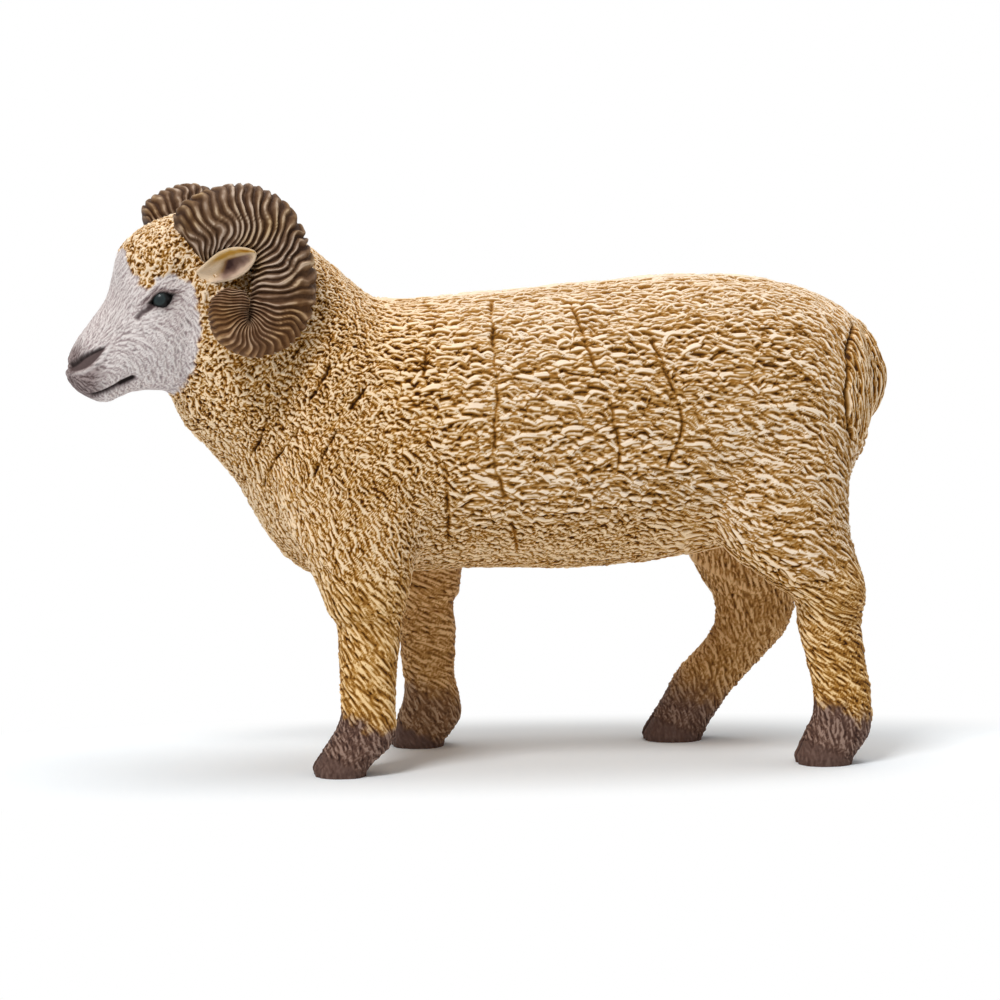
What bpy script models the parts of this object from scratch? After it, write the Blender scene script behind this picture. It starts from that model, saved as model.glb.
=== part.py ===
"""Toy ram, a moulded and painted farm animal figure about 108 mm long.

The figure is glued together from eleven mouldings: a fleece torso with its neck,
a head, two horns, two ears, four legs and a tail. Each smaller moulding has a
peg that seats in a socket of the moulding that carries it, with a glue gap all
round. The soles of the four hooves are flat and stand on one plane.

Lengths are metres. The ram faces -X, its left side is -Y and +Z is up. A table
of shares is read along the sizes that the line above it names.
"""

import math

import bmesh
import bpy
from mathutils import Matrix, Vector

# How the mouldings meet
GLUE_GAP = 0.0003
SOCKET_DEPTH_GAP = 0.0003
PEG_ROOT = 0.0010

# How square an oval ring is: 2 is an ellipse
ROUND = 2.0
BODY_SQUARENESS = 2.25
LIMB_SQUARENESS = 2.2
FACE_SQUARENESS = 2.15
HORN_SQUARENESS = 2.3

# Barrel of the torso, from the shoulders to the rump
BODY_LENGTH = 0.0645
BODY_HEIGHT = 0.0382
BODY_HALF_WIDTH = 0.0176
SHOULDER_X = -0.0130
RUMP_X = SHOULDER_X + BODY_LENGTH
BELLY_Z = 0.0252
BACK_Z = BELLY_Z + BODY_HEIGHT
# Along BODY_LENGTH, underside and back in BODY_HEIGHT, side in BODY_HALF_WIDTH
BODY_SHARES = (
    (1.000, 0.54, 0.74, 0.18),
    (0.992, 0.43, 0.81, 0.42),
    (0.968, 0.31, 0.865, 0.63),
    (0.920, 0.20, 0.920, 0.80),
    (0.850, 0.14, 0.962, 0.91),
    (0.760, 0.09, 0.992, 0.965),
    (0.648, 0.045, 1.000, 0.99),
    (0.512, 0.01, 0.985, 1.00),
    (0.357, 0.00, 0.960, 1.00),
    (0.200, 0.005, 0.938, 0.985),
    (0.078, 0.00, 0.920, 0.96),
)

# Neck, which leans forward and turns the head towards the ram's left
NECK_REACH = 0.0244
NECK_RISE = 0.0438
HEAD_TURN = math.radians(14.0)
# Underside along NECK_REACH and up NECK_RISE, crest along and up the same two,
# side in BODY_HALF_WIDTH, share of HEAD_TURN
NECK_SHARES = (
    (0.127, -0.025, 0.004, 0.806, 0.930, 0.00),
    (0.393, 0.000, 0.123, 0.852, 0.880, 0.05),
    (0.582, 0.110, 0.225, 0.900, 0.815, 0.20),
    (0.710, 0.245, 0.320, 0.940, 0.750, 0.50),
    (0.845, 0.340, 0.400, 0.972, 0.690, 0.80),
    (0.975, 0.415, 0.484, 1.000, 0.650, 1.00),
)
# The head turns about a line this far behind the throat
THROAT_REACH = 0.00979
THROAT_X = SHOULDER_X - NECK_REACH * NECK_SHARES[-1][0]
THROAT_Z = BELLY_Z + NECK_RISE * NECK_SHARES[-1][1]
TURN_X = THROAT_X + THROAT_REACH

# Fleece sleeves of the shoulders and thighs, which carry the legs
HEM_Z = 0.0205
SLEEVE_RISE = 0.0330
SLEEVE_DEPTH = 0.0120
SLEEVE_HALF_WIDTH = 0.0068
LEG_SIDE_Y = 0.0110
# Up SLEEVE_RISE from the hem, front and back edge in SLEEVE_DEPTH from the leg's
# own place, half width in SLEEVE_HALF_WIDTH, way out from LEG_SIDE_Y in the same
LEFT_SHOULDER_SHARES = (
    (0.00, -0.42, 0.38, 0.66, 0.00),
    (0.06, -0.48, 0.42, 0.74, 0.00),
    (0.15, -0.58, 0.46, 0.84, 0.00),
    (0.28, -0.76, 0.56, 0.92, -0.06),
    (0.45, -0.92, 0.78, 0.94, -0.12),
    (0.65, -0.92, 0.92, 0.92, -0.12),
    (0.85, -0.74, 0.82, 0.80, -0.24),
    (1.00, -0.44, 0.56, 0.56, -0.46),
)
RIGHT_SHOULDER_SHARES = (
    (0.00, -0.36, 0.38, 0.66, 0.00),
    (0.06, -0.42, 0.40, 0.74, 0.00),
    (0.15, -0.54, 0.42, 0.84, 0.00),
    (0.28, -0.78, 0.46, 0.92, -0.06),
    (0.45, -0.98, 0.60, 0.94, -0.12),
    (0.65, -1.02, 0.74, 0.92, -0.12),
    (0.85, -0.88, 0.64, 0.80, -0.24),
    (1.00, -0.60, 0.40, 0.56, -0.46),
)
LEFT_THIGH_SHARES = (
    (0.00, -0.34, 0.38, 0.66, 0.02),
    (0.05, -0.44, 0.39, 0.76, 0.02),
    (0.13, -0.78, 0.36, 0.88, 0.00),
    (0.26, -1.20, 0.22, 0.98, -0.02),
    (0.42, -1.42, 0.20, 1.02, -0.08),
    (0.62, -1.46, 0.24, 1.00, -0.11),
    (0.82, -1.22, 0.22, 0.88, -0.24),
    (1.00, -0.84, 0.04, 0.62, -0.46),
)
RIGHT_THIGH_SHARES = (
    (0.00, -0.40, 0.62, 0.66, 0.02),
    (0.05, -0.48, 0.70, 0.76, 0.02),
    (0.13, -0.60, 0.82, 0.88, 0.02),
    (0.26, -0.84, 0.84, 0.98, -0.02),
    (0.42, -1.00, 0.80, 1.02, -0.08),
    (0.62, -1.02, 0.82, 1.00, -0.11),
    (0.82, -0.78, 0.78, 0.88, -0.24),
    (1.00, -0.40, 0.56, 0.62, -0.46),
)

# Legs, each from its hem to the flat sole of its hoof
LEG_DEPTH = 0.0080
LEG_HALF_WIDTH = 0.0036
LEFT_FRONT_LEG_AHEAD = 0.0024
RIGHT_FRONT_LEG_BEHIND = 0.0078
LEFT_REAR_LEG_SET_IN = 0.0065
RIGHT_REAR_LEG_SET_IN = 0.0130
LEFT_FRONT_LEG_X = SHOULDER_X - LEFT_FRONT_LEG_AHEAD
RIGHT_FRONT_LEG_X = SHOULDER_X + RIGHT_FRONT_LEG_BEHIND
LEFT_REAR_LEG_X = RUMP_X - LEFT_REAR_LEG_SET_IN
RIGHT_REAR_LEG_X = RUMP_X - RIGHT_REAR_LEG_SET_IN
# Up HEM_Z from the floor, front and back edge in LEG_DEPTH from the leg's own
# place, half width in LEG_HALF_WIDTH, way out from LEG_SIDE_Y in the same
LEFT_FRONT_LEG_SHARES = (
    (1.00, -0.50, 0.54, 1.00, 0.00),
    (0.90, -0.49, 0.53, 0.99, 0.00),
    (0.68, -0.46, 0.46, 0.93, 0.00),
    (0.50, -0.44, 0.43, 0.88, 0.00),
    (0.38, -0.45, 0.44, 0.87, 0.00),
    (0.27, -0.56, 0.44, 0.93, 0.00),
    (0.18, -0.72, 0.38, 1.00, 0.00),
    (0.11, -0.83, 0.18, 1.04, 0.00),
    (0.05, -0.90, 0.02, 1.05, 0.00),
    (0.012, -0.88, -0.02, 1.02, 0.00),
    (0.00, -0.84, -0.05, 0.96, 0.00),
)
RIGHT_FRONT_LEG_SHARES = (
    (1.00, -0.50, 0.46, 1.00, 0.00),
    (0.90, -0.48, 0.48, 0.99, 0.00),
    (0.74, -0.44, 0.52, 0.95, 0.00),
    (0.55, -0.40, 0.48, 0.88, 0.00),
    (0.42, -0.36, 0.50, 0.86, 0.00),
    (0.30, -0.40, 0.60, 0.92, 0.00),
    (0.18, -0.50, 0.60, 1.00, 0.00),
    (0.09, -0.57, 0.44, 1.04, 0.00),
    (0.04, -0.60, 0.34, 1.05, 0.00),
    (0.012, -0.60, 0.30, 1.02, 0.00),
    (0.00, -0.57, 0.26, 0.96, 0.00),
)
LEFT_REAR_LEG_SHARES = (
    (1.00, -0.54, 0.52, 1.00, 0.00),
    (0.90, -0.52, 0.53, 0.99, 0.00),
    (0.72, -0.40, 0.58, 0.95, 0.00),
    (0.56, -0.29, 0.66, 0.90, 0.00),
    (0.42, -0.24, 0.70, 0.88, 0.00),
    (0.30, -0.27, 0.73, 0.93, 0.00),
    (0.19, -0.42, 0.70, 1.00, 0.00),
    (0.10, -0.51, 0.54, 1.04, 0.00),
    (0.04, -0.55, 0.42, 1.05, 0.00),
    (0.012, -0.54, 0.40, 1.02, 0.00),
    (0.00, -0.50, 0.36, 0.96, 0.00),
)
RIGHT_REAR_LEG_SHARES = (
    (1.00, -0.54, 0.90, 1.06, 0.00),
    (0.90, -0.48, 0.88, 1.03, 0.00),
    (0.74, -0.54, 0.76, 0.97, 0.00),
    (0.58, -0.86, 0.40, 0.91, 0.00),
    (0.44, -1.20, 0.06, 0.88, 0.00),
    (0.30, -1.38, -0.26, 0.93, 0.00),
    (0.20, -1.54, -0.42, 1.00, 0.00),
    (0.11, -1.68, -0.60, 1.04, 0.00),
    (0.045, -1.76, -0.66, 1.05, 0.00),
    (0.012, -1.72, -0.70, 1.02, 0.00),
    (0.00, -1.62, -0.76, 0.96, 0.00),
)
CLEFT_WIDTH = 0.0007
CLEFT_DEPTH = 0.0026
CLEFT_HEIGHT = 0.0042
LEG_PEG_RADIUS = 0.0018
LEG_PEG_LENGTH = 0.0060

# Tail, a woolly lobe over the rump
TAIL_LENGTH = 0.0165
TAIL_THICKNESS = 0.0050
TAIL_HALF_WIDTH = 0.0046
TAIL_SET_IN = 0.0020
TAIL_DROP = 0.0054
TAIL_TOP_X = RUMP_X - TAIL_SET_IN
TAIL_TOP_Z = BACK_Z - TAIL_DROP
# Down TAIL_LENGTH, way back, half thickness in TAIL_THICKNESS, side in TAIL_HALF_WIDTH
TAIL_SHARES = (
    (0.00, -0.10, 0.14, 0.35),
    (0.05, 0.00, 0.30, 0.60),
    (0.18, 0.22, 0.44, 0.82),
    (0.36, 0.46, 0.50, 0.95),
    (0.54, 0.55, 0.50, 1.00),
    (0.70, 0.42, 0.46, 0.94),
    (0.84, 0.22, 0.38, 0.78),
    (0.95, 0.06, 0.26, 0.52),
    (1.00, -0.02, 0.12, 0.24),
)
TAIL_PEG_RADIUS = 0.0012
TAIL_PEG_LENGTH = 0.0050
# Root of the peg back in TAIL_THICKNESS and down TAIL_LENGTH
TAIL_PEG_PLACE_SHARES = (0.5, 0.45)

# Head, measured forward from TURN_X along the turned head
HEAD_LENGTH = 0.0270
HEAD_HEIGHT = 0.0250
HEAD_HALF_WIDTH = 0.0108
CHIN_RISE = 0.00402
CHIN_Z = THROAT_Z + CHIN_RISE
# Underside along and up, top along and up, side, in the three head sizes
HOOD_SHARES = (
    (0.415, -0.096, 0.050, 0.940, 0.98),
    (0.452, -0.008, 0.215, 0.985, 0.94),
    (0.474, 0.064, 0.390, 0.980, 0.88),
    (0.489, 0.164, 0.460, 0.930, 0.79),
)
FACE_SHARES = (
    (0.320, 0.080, 0.340, 0.860, 0.74),
    (0.380, 0.050, 0.560, 0.800, 0.76),
    (0.530, 0.060, 0.745, 0.690, 0.69),
    (0.620, 0.066, 0.767, 0.600, 0.60),
    (0.700, 0.055, 0.832, 0.485, 0.49),
    (0.765, 0.020, 0.900, 0.395, 0.42),
    (0.822, 0.002, 0.956, 0.310, 0.385),
    (0.885, 0.028, 0.990, 0.220, 0.335),
    (0.945, 0.066, 1.000, 0.160, 0.215),
)
TOPKNOT_LENGTH = 0.0080
TOPKNOT_HEIGHT = 0.0044
TOPKNOT_HALF_WIDTH = 0.0078
TOPKNOT_TILT = math.radians(25.0)
# Along HEAD_LENGTH and up HEAD_HEIGHT
TOPKNOT_PLACE_SHARES = (0.481, 0.768)
EYE_RADIUS = 0.0014
# Along HEAD_LENGTH, up HEAD_HEIGHT and out in HEAD_HALF_WIDTH
EYE_PLACE_SHARES = (0.600, 0.540, 0.585)
HEAD_PEG_RADIUS = 0.0040
HEAD_PEG_LENGTH = 0.0060

# Horns, each a ridged coil from the crown, out and round to a blunt tip
HORN_DEPTH = 0.0156
HORN_HEIGHT = 0.0213
HORN_STAND_OUT = 0.00356
HORN_SIDE_REACH = BODY_HALF_WIDTH * NECK_SHARES[-1][4] + HORN_STAND_OUT
HORN_HALF_WIDTH = 0.0034
# Front of the coil along HEAD_LENGTH
HORN_FRONT_SHARE = 0.5185
HORN_FRONT = HEAD_LENGTH * HORN_FRONT_SHARE
HORN_LIFT = 0.0064
HORN_BOTTOM_Z = CHIN_Z + HORN_LIFT
HORN_RIDGES = 38
RIDGE_HEIGHT = 0.00022
RIDGE_STEPS = 2
# Outer edge back along HORN_DEPTH and up HORN_HEIGHT, inner edge along the same
# two, way out in HORN_SIDE_REACH, half width in HORN_HALF_WIDTH
HORN_SHARES = (
    (0.030, 0.690, 0.190, 0.500, 0.32, 0.62),
    (-0.030, 0.845, 0.180, 0.540, 0.49, 0.76),
    (0.130, 0.953, 0.230, 0.596, 0.58, 0.92),
    (0.365, 1.000, 0.320, 0.624, 0.68, 1.00),
    (0.560, 0.990, 0.410, 0.620, 0.75, 1.00),
    (0.795, 0.892, 0.487, 0.582, 0.78, 0.98),
    (0.930, 0.704, 0.520, 0.526, 0.825, 0.96),
    (1.000, 0.493, 0.500, 0.432, 0.860, 0.93),
    (0.974, 0.282, 0.468, 0.338, 0.885, 0.88),
    (0.808, 0.090, 0.430, 0.268, 0.915, 0.80),
    (0.506, 0.000, 0.404, 0.230, 0.945, 0.71),
    (0.212, 0.070, 0.391, 0.225, 0.970, 0.65),
    (0.090, 0.230, 0.397, 0.268, 0.985, 0.60),
    (0.115, 0.343, 0.404, 0.329, 0.995, 0.54),
    (0.224, 0.408, 0.365, 0.394, 1.000, 0.34),
)
HORN_PEG_RADIUS = 0.0013
HORN_PEG_LENGTH = 0.0040
# Root end of the peg back along HORN_DEPTH, up HORN_HEIGHT and out in HORN_SIDE_REACH
HORN_PEG_PLACE_SHARES = (0.205, 0.720, 0.396)

# Ears, each a hollowed leaf between the eye and the horn
EAR_LENGTH = 0.0088
EAR_HALF_WIDTH = 0.0020
EAR_WALL = 0.0007
EAR_CUP = 0.0010
EAR_SWEEP_BACK = math.radians(39.0)
EAR_RISE = math.radians(21.0)
# Root back along HORN_DEPTH, up HORN_HEIGHT and out in HEAD_HALF_WIDTH
EAR_PLACE_SHARES = (0.148, 0.463, 0.77)
# Along EAR_LENGTH, half width in EAR_HALF_WIDTH, wall in EAR_WALL
EAR_SHARES = (
    (0.00, 0.55, 1.20),
    (0.18, 0.72, 1.10),
    (0.38, 0.94, 1.00),
    (0.56, 1.00, 1.00),
    (0.74, 0.86, 0.95),
    (0.88, 0.58, 0.85),
    (0.96, 0.32, 0.70),
    (1.00, 0.12, 0.50),
)
EAR_PEG_RADIUS = 0.0006
EAR_PEG_LENGTH = 0.0020
# Root of the peg along EAR_LENGTH
EAR_PEG_ROOT_SHARE = 0.2

# Fineness of the faceted forms
ROW_STEPS = 2
TORSO_SIDES = 28
LIMB_SIDES = 16
HORN_SIDES = 14
EAR_STEPS = 4
PEG_SIDES = 16
BALL_SIDES = 20
SHARP_EDGE = math.radians(50.0)

FLEECE = ("fleece", (0.72, 0.50, 0.22), 0.65)
FACE = ("face", (0.78, 0.72, 0.72), 0.60)
HORN = ("horn", (0.36, 0.29, 0.23), 0.55)
EAR = ("ear", (0.72, 0.55, 0.36), 0.60)
LEG = ("leg", (0.48, 0.29, 0.12), 0.62)


def clear_scene():
    """Remove whatever the scene holds."""
    for scene_object in list(bpy.data.objects):
        bpy.data.objects.remove(scene_object)


def painted(finish):
    """The material of one painted finish."""
    name, colour, roughness = finish
    material = bpy.data.materials.get(name)
    if material is None:
        material = bpy.data.materials.new(name)
        material.use_nodes = True
        shader = material.node_tree.nodes["Principled BSDF"]
        shader.inputs["Base Color"].default_value = (*colour, 1.0)
        shader.inputs["Roughness"].default_value = roughness
        shader.inputs["Metallic"].default_value = 0.0
    return material


def solid(name, mesh_builder):
    """An object from a bmesh whose faces are turned to point out."""
    bmesh.ops.recalc_face_normals(mesh_builder, faces=mesh_builder.faces)
    mesh = bpy.data.meshes.new(name)
    mesh_builder.to_mesh(mesh)
    mesh_builder.free()
    made = bpy.data.objects.new(name, mesh)
    bpy.context.scene.collection.objects.link(made)
    return made


def smooth_rows(rows, steps):
    """The rows with others between them, on a smooth curve through them all."""
    last = len(rows) - 1
    filled = []
    for index in range(last):
        before = rows[max(index - 1, 0)]
        after = rows[min(index + 2, last)]
        for step in range(steps):
            t = step / steps
            filled.append(tuple(
                0.5 * (2 * b + (c - a) * t + (2 * a - 5 * b + 4 * c - d) * t ** 2
                       + (3 * b - a - 3 * c + d) * t ** 3)
                for a, b, c, d in zip(before, rows[index], rows[index + 1], after)))
    filled.append(rows[-1])
    return filled


def oval(centre, across, up, sides, squareness=ROUND):
    """A closed ring round a centre."""
    ring = []
    for side in range(sides):
        angle = 2 * math.pi * side / sides
        wide = math.copysign(abs(math.cos(angle)) ** (2 / squareness), math.cos(angle))
        high = math.copysign(abs(math.sin(angle)) ** (2 / squareness), math.sin(angle))
        ring.append(centre + across * wide + up * high)
    return ring


def loft(name, rings):
    """A closed solid through rings of one count, capped at both ends."""
    builder = bmesh.new()
    loops = [[builder.verts.new(point) for point in ring] for ring in rings]
    for lower, upper in zip(loops, loops[1:]):
        count = len(lower)
        for side in range(count):
            following = (side + 1) % count
            builder.faces.new((lower[side], lower[following], upper[following], upper[side]))
    builder.faces.new(loops[0])
    builder.faces.new(loops[-1])
    return solid(name, builder)


def rod(name, start, end, radius):
    """A plain cylinder between two points."""
    axis = end - start
    builder = bmesh.new()
    turn = axis.to_track_quat("Z", "Y").to_matrix().to_4x4()
    bmesh.ops.create_cone(
        builder, cap_ends=True, segments=PEG_SIDES, radius1=radius, radius2=radius,
        depth=axis.length, matrix=Matrix.Translation((start + end) / 2) @ turn)
    return solid(name, builder)


def ball(name, centre, radii, tilt=0.0):
    """An ellipsoid, tipped forward about Y."""
    builder = bmesh.new()
    bmesh.ops.create_uvsphere(
        builder, u_segments=BALL_SIDES, v_segments=BALL_SIDES // 2, radius=radii[0])
    stretch = Matrix.Diagonal([radius / radii[0] for radius in radii]).to_4x4()
    bmesh.ops.transform(
        builder, verts=builder.verts,
        matrix=Matrix.Translation(centre) @ Matrix.Rotation(-tilt, 4, "Y") @ stretch)
    return solid(name, builder)


def bake(target):
    """Replace an object's mesh by its evaluated one."""
    graph = bpy.context.evaluated_depsgraph_get()
    old = target.data
    mesh = bpy.data.meshes.new_from_object(target.evaluated_get(graph))
    target.modifiers.clear()
    target.data = mesh
    bpy.data.meshes.remove(old)


def combine(target, tool, operation):
    """Join a tool to the target or cut it away, and remove the tool."""
    tool.parent = target.parent
    modifier = target.modifiers.new(operation.lower(), "BOOLEAN")
    modifier.operation = operation
    modifier.object = tool
    bake(target)
    bpy.data.objects.remove(tool)


def cut_clear(target, neighbour):
    """Cut the target back from a neighbour, a glue gap clear of its surface."""
    tool = neighbour.copy()
    tool.data = neighbour.data.copy()
    bpy.context.scene.collection.objects.link(tool)
    swell = tool.modifiers.new("swell", "DISPLACE")
    swell.strength = GLUE_GAP
    swell.mid_level = 0.0
    bake(tool)
    modifier = target.modifiers.new("clear", "BOOLEAN")
    modifier.operation = "DIFFERENCE"
    modifier.object = tool
    bake(target)
    bpy.data.objects.remove(tool)


def seat(piece, carrier, root, way, radius, length):
    """Give a piece a peg from its root along a way, and its carrier the socket for it."""
    peg = rod("peg", root - way * PEG_ROOT, root + way * length, radius)
    combine(piece, peg, "UNION")
    hole = rod("socket", root - way * PEG_ROOT, root + way * (length + SOCKET_DEPTH_GAP),
               radius + GLUE_GAP)
    combine(carrier, hole, "DIFFERENCE")


def finish_node(target, parent, finish):
    """Dress a finished piece and hang it on its parent."""
    target.parent = parent
    target.data.materials.clear()
    target.data.materials.append(painted(finish))
    target.data.shade_smooth()
    target.data.set_sharp_from_angle(angle=SHARP_EDGE)


def turned(point, share):
    """A point of the neck, swung about the vertical at TURN_X by a share of the head's turn."""
    pivot = Vector((TURN_X, 0.0, 0.0))
    return pivot + Matrix.Rotation(HEAD_TURN * share, 3, "Z") @ (point - pivot)


def neck_point(along, up):
    """A point of the neck's middle plane, before the head's turn."""
    return Vector((SHOULDER_X - NECK_REACH * along, 0.0, BELLY_Z + NECK_RISE * up))


def body_rings():
    """Rings of the torso from the rump to the joint with the head."""
    rows = []
    for along, low, high, side in BODY_SHARES:
        x = SHOULDER_X + BODY_LENGTH * along
        rows.append((x, BELLY_Z + BODY_HEIGHT * low, x, BELLY_Z + BODY_HEIGHT * high,
                     BODY_HALF_WIDTH * side, 0.0))
    for low_along, low_up, top_along, top_up, side, turn in NECK_SHARES:
        low = neck_point(low_along, low_up)
        top = neck_point(top_along, top_up)
        rows.append((low.x, low.z, top.x, top.z, BODY_HALF_WIDTH * side, turn))
    rings = []
    for low_x, low_z, top_x, top_z, half, turn in smooth_rows(rows, ROW_STEPS):
        low = Vector((low_x, 0.0, low_z))
        top = Vector((top_x, 0.0, top_z))
        ring = oval((low + top) / 2, Vector((0.0, half, 0.0)), (top - low) / 2,
                    TORSO_SIDES, BODY_SQUARENESS)
        rings.append([turned(point, turn) for point in ring])
    return rings


def sleeve(name, shares, leg_x, side):
    """The fleece over the top of one leg."""
    rings = []
    for up, front, back, half, out in smooth_rows(shares, ROW_STEPS):
        z = HEM_Z + SLEEVE_RISE * up
        centre = Vector((leg_x + SLEEVE_DEPTH * (front + back) / 2,
                         side * (LEG_SIDE_Y + SLEEVE_HALF_WIDTH * out), z))
        depth = Vector((SLEEVE_DEPTH * (back - front) / 2, 0.0, 0.0))
        width = Vector((0.0, SLEEVE_HALF_WIDTH * half, 0.0))
        rings.append(oval(centre, width, depth, LIMB_SIDES, LIMB_SQUARENESS))
    return loft(name, rings)


def make_torso():
    """The torso: barrel, neck and the four sleeves."""
    torso = loft("torso", body_rings())
    combine(torso, sleeve("left_shoulder", LEFT_SHOULDER_SHARES, LEFT_FRONT_LEG_X, -1), "UNION")
    combine(torso, sleeve("right_shoulder", RIGHT_SHOULDER_SHARES, RIGHT_FRONT_LEG_X, 1), "UNION")
    combine(torso, sleeve("left_thigh", LEFT_THIGH_SHARES, LEFT_REAR_LEG_X, -1), "UNION")
    combine(torso, sleeve("right_thigh", RIGHT_THIGH_SHARES, RIGHT_REAR_LEG_X, 1), "UNION")
    return torso


def cleft(leg_x, front, side):
    """The wedge that parts the two claws of a hoof."""
    toe_x = leg_x + LEG_DEPTH * front
    y = side * LEG_SIDE_Y
    rings = []
    for z, half in ((-CLEFT_WIDTH, CLEFT_WIDTH), (CLEFT_HEIGHT, CLEFT_WIDTH / 2)):
        rings.append([
            Vector((toe_x - CLEFT_DEPTH, y - half, z)), Vector((toe_x - CLEFT_DEPTH, y + half, z)),
            Vector((toe_x + CLEFT_DEPTH, y, z))])
    return loft("cleft", rings)


def make_leg(name, shares, leg_x, side, torso):
    """One leg with its hoof, seated in its sleeve."""
    rings = []
    for up, front, back, half, out in smooth_rows(shares, ROW_STEPS):
        centre = Vector((leg_x + LEG_DEPTH * (front + back) / 2,
                         side * (LEG_SIDE_Y + LEG_HALF_WIDTH * out), (HEM_Z - GLUE_GAP) * up))
        depth = Vector((LEG_DEPTH * (back - front) / 2, 0.0, 0.0))
        width = Vector((0.0, LEG_HALF_WIDTH * half, 0.0))
        rings.append(oval(centre, width, depth, LIMB_SIDES, LIMB_SQUARENESS))
    leg = loft(name, rings)
    toe = min(row[1] for row in shares)
    combine(leg, cleft(leg_x, toe, side), "DIFFERENCE")
    top = shares[0]
    root = Vector((leg_x + LEG_DEPTH * (top[1] + top[2]) / 2, side * LEG_SIDE_Y, HEM_Z - GLUE_GAP))
    seat(leg, torso, root, Vector((0.0, 0.0, 1.0)), LEG_PEG_RADIUS, LEG_PEG_LENGTH)
    return leg


def tail_point(back, down):
    """A point of the tail's middle plane."""
    return Vector((TAIL_TOP_X + TAIL_THICKNESS * back, 0.0, TAIL_TOP_Z - TAIL_LENGTH * down))


def make_tail(torso):
    """The tail, laid on the rump and seated in it."""
    rings = []
    for down, back, thick, side in smooth_rows(TAIL_SHARES, ROW_STEPS):
        centre = tail_point(back, down)
        width = Vector((0.0, TAIL_HALF_WIDTH * side, 0.0))
        depth = Vector((TAIL_THICKNESS * thick, 0.0, 0.0))
        rings.append(oval(centre, width, depth, LIMB_SIDES))
    tail = loft("tail", rings)
    cut_clear(tail, torso)
    root = tail_point(*TAIL_PEG_PLACE_SHARES)
    seat(tail, torso, root, Vector((-1.0, 0.0, 0.0)), TAIL_PEG_RADIUS, TAIL_PEG_LENGTH)
    return tail


def head_point(along, up, out=0.0):
    """A point of the head in its own turned frame."""
    return Vector((-HEAD_LENGTH * along, HEAD_HALF_WIDTH * out, CHIN_Z + HEAD_HEIGHT * up))


def head_rings(rows, squareness):
    """Rings of one form of the head."""
    rings = []
    for low_along, low_up, top_along, top_up, side in smooth_rows(rows, ROW_STEPS):
        low = head_point(low_along, low_up)
        top = head_point(top_along, top_up)
        across = Vector((0.0, HEAD_HALF_WIDTH * side, 0.0))
        rings.append(oval((low + top) / 2, across, (top - low) / 2, TORSO_SIDES, squareness))
    return rings


def joint_ring():
    """The neck's end in the head's frame, a glue gap clear of the torso, and the way across it."""
    low_along, low_up, top_along, top_up, side, turn = NECK_SHARES[-1]
    pivot = Vector((TURN_X, 0.0, 0.0))
    low = neck_point(low_along, low_up) - pivot
    top = neck_point(top_along, top_up) - pivot
    across = Vector((0.0, 1.0, 0.0))
    forward = (top - low).cross(across).normalized()
    if forward.x > 0:
        forward.negate()
    ring = oval((low + top) / 2 + forward * GLUE_GAP, across * BODY_HALF_WIDTH * side,
                (top - low) / 2, TORSO_SIDES, BODY_SQUARENESS)
    return ring, (low + top) / 2, forward


def make_head(parent, torso):
    """The head: fleece hood, topknot, face and eyes, seated on the neck."""
    ring, middle, forward = joint_ring()
    head = loft("head", [ring] + head_rings(HOOD_SHARES, LIMB_SQUARENESS))
    head.parent = parent
    face = loft("face_form", head_rings(FACE_SHARES, FACE_SQUARENESS))
    combine(head, face, "UNION")
    along, up = TOPKNOT_PLACE_SHARES
    radii = (TOPKNOT_LENGTH, TOPKNOT_HALF_WIDTH, TOPKNOT_HEIGHT)
    combine(head, ball("topknot", head_point(along, up), radii, TOPKNOT_TILT), "UNION")
    along, up, out = EYE_PLACE_SHARES
    for side in (-1, 1):
        centre = head_point(along, up, side * out)
        combine(head, ball("eye", centre, (EYE_RADIUS, EYE_RADIUS, EYE_RADIUS)), "UNION")
    bpy.context.view_layer.update()
    root = middle + forward * GLUE_GAP
    peg = rod("peg", root + forward * PEG_ROOT, root - forward * HEAD_PEG_LENGTH, HEAD_PEG_RADIUS)
    combine(head, peg, "UNION")
    hole = rod("socket", root + forward * PEG_ROOT,
               root - forward * (HEAD_PEG_LENGTH + SOCKET_DEPTH_GAP), HEAD_PEG_RADIUS + GLUE_GAP)
    hole.matrix_world = parent.matrix_world.copy()
    modifier = torso.modifiers.new("socket", "BOOLEAN")
    modifier.operation = "DIFFERENCE"
    modifier.object = hole
    bake(torso)
    bpy.data.objects.remove(hole)
    return head


def horn_point(back, up):
    """A point of the horn's outline, seen from the side."""
    return Vector((HORN_DEPTH * back - HORN_FRONT, 0.0, HORN_BOTTOM_Z + HORN_HEIGHT * up))


def horn_rings(side):
    """Ridged rings of a horn, from inside the crown to the blunt tip."""
    steps = HORN_RIDGES * RIDGE_STEPS
    spans = len(HORN_SHARES) - 1
    fine = smooth_rows(HORN_SHARES, steps)
    rings = []
    for index in range(steps + 1):
        outer_back, outer_up, inner_back, inner_up, out, wide = fine[index * spans]
        outer = horn_point(outer_back, outer_up)
        inner = horn_point(inner_back, inner_up)
        centre = (outer + inner) / 2 + Vector((0.0, side * HORN_SIDE_REACH * out, 0.0))
        crest = RIDGE_HEIGHT * math.cos(2 * math.pi * index / RIDGE_STEPS)
        reach = (outer - inner).length / 2
        up = (outer - inner) / 2 * ((reach + crest) / reach)
        across = Vector((0.0, HORN_HALF_WIDTH * wide + crest, 0.0))
        rings.append(oval(centre, across, up, HORN_SIDES, HORN_SQUARENESS))
    return rings


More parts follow.
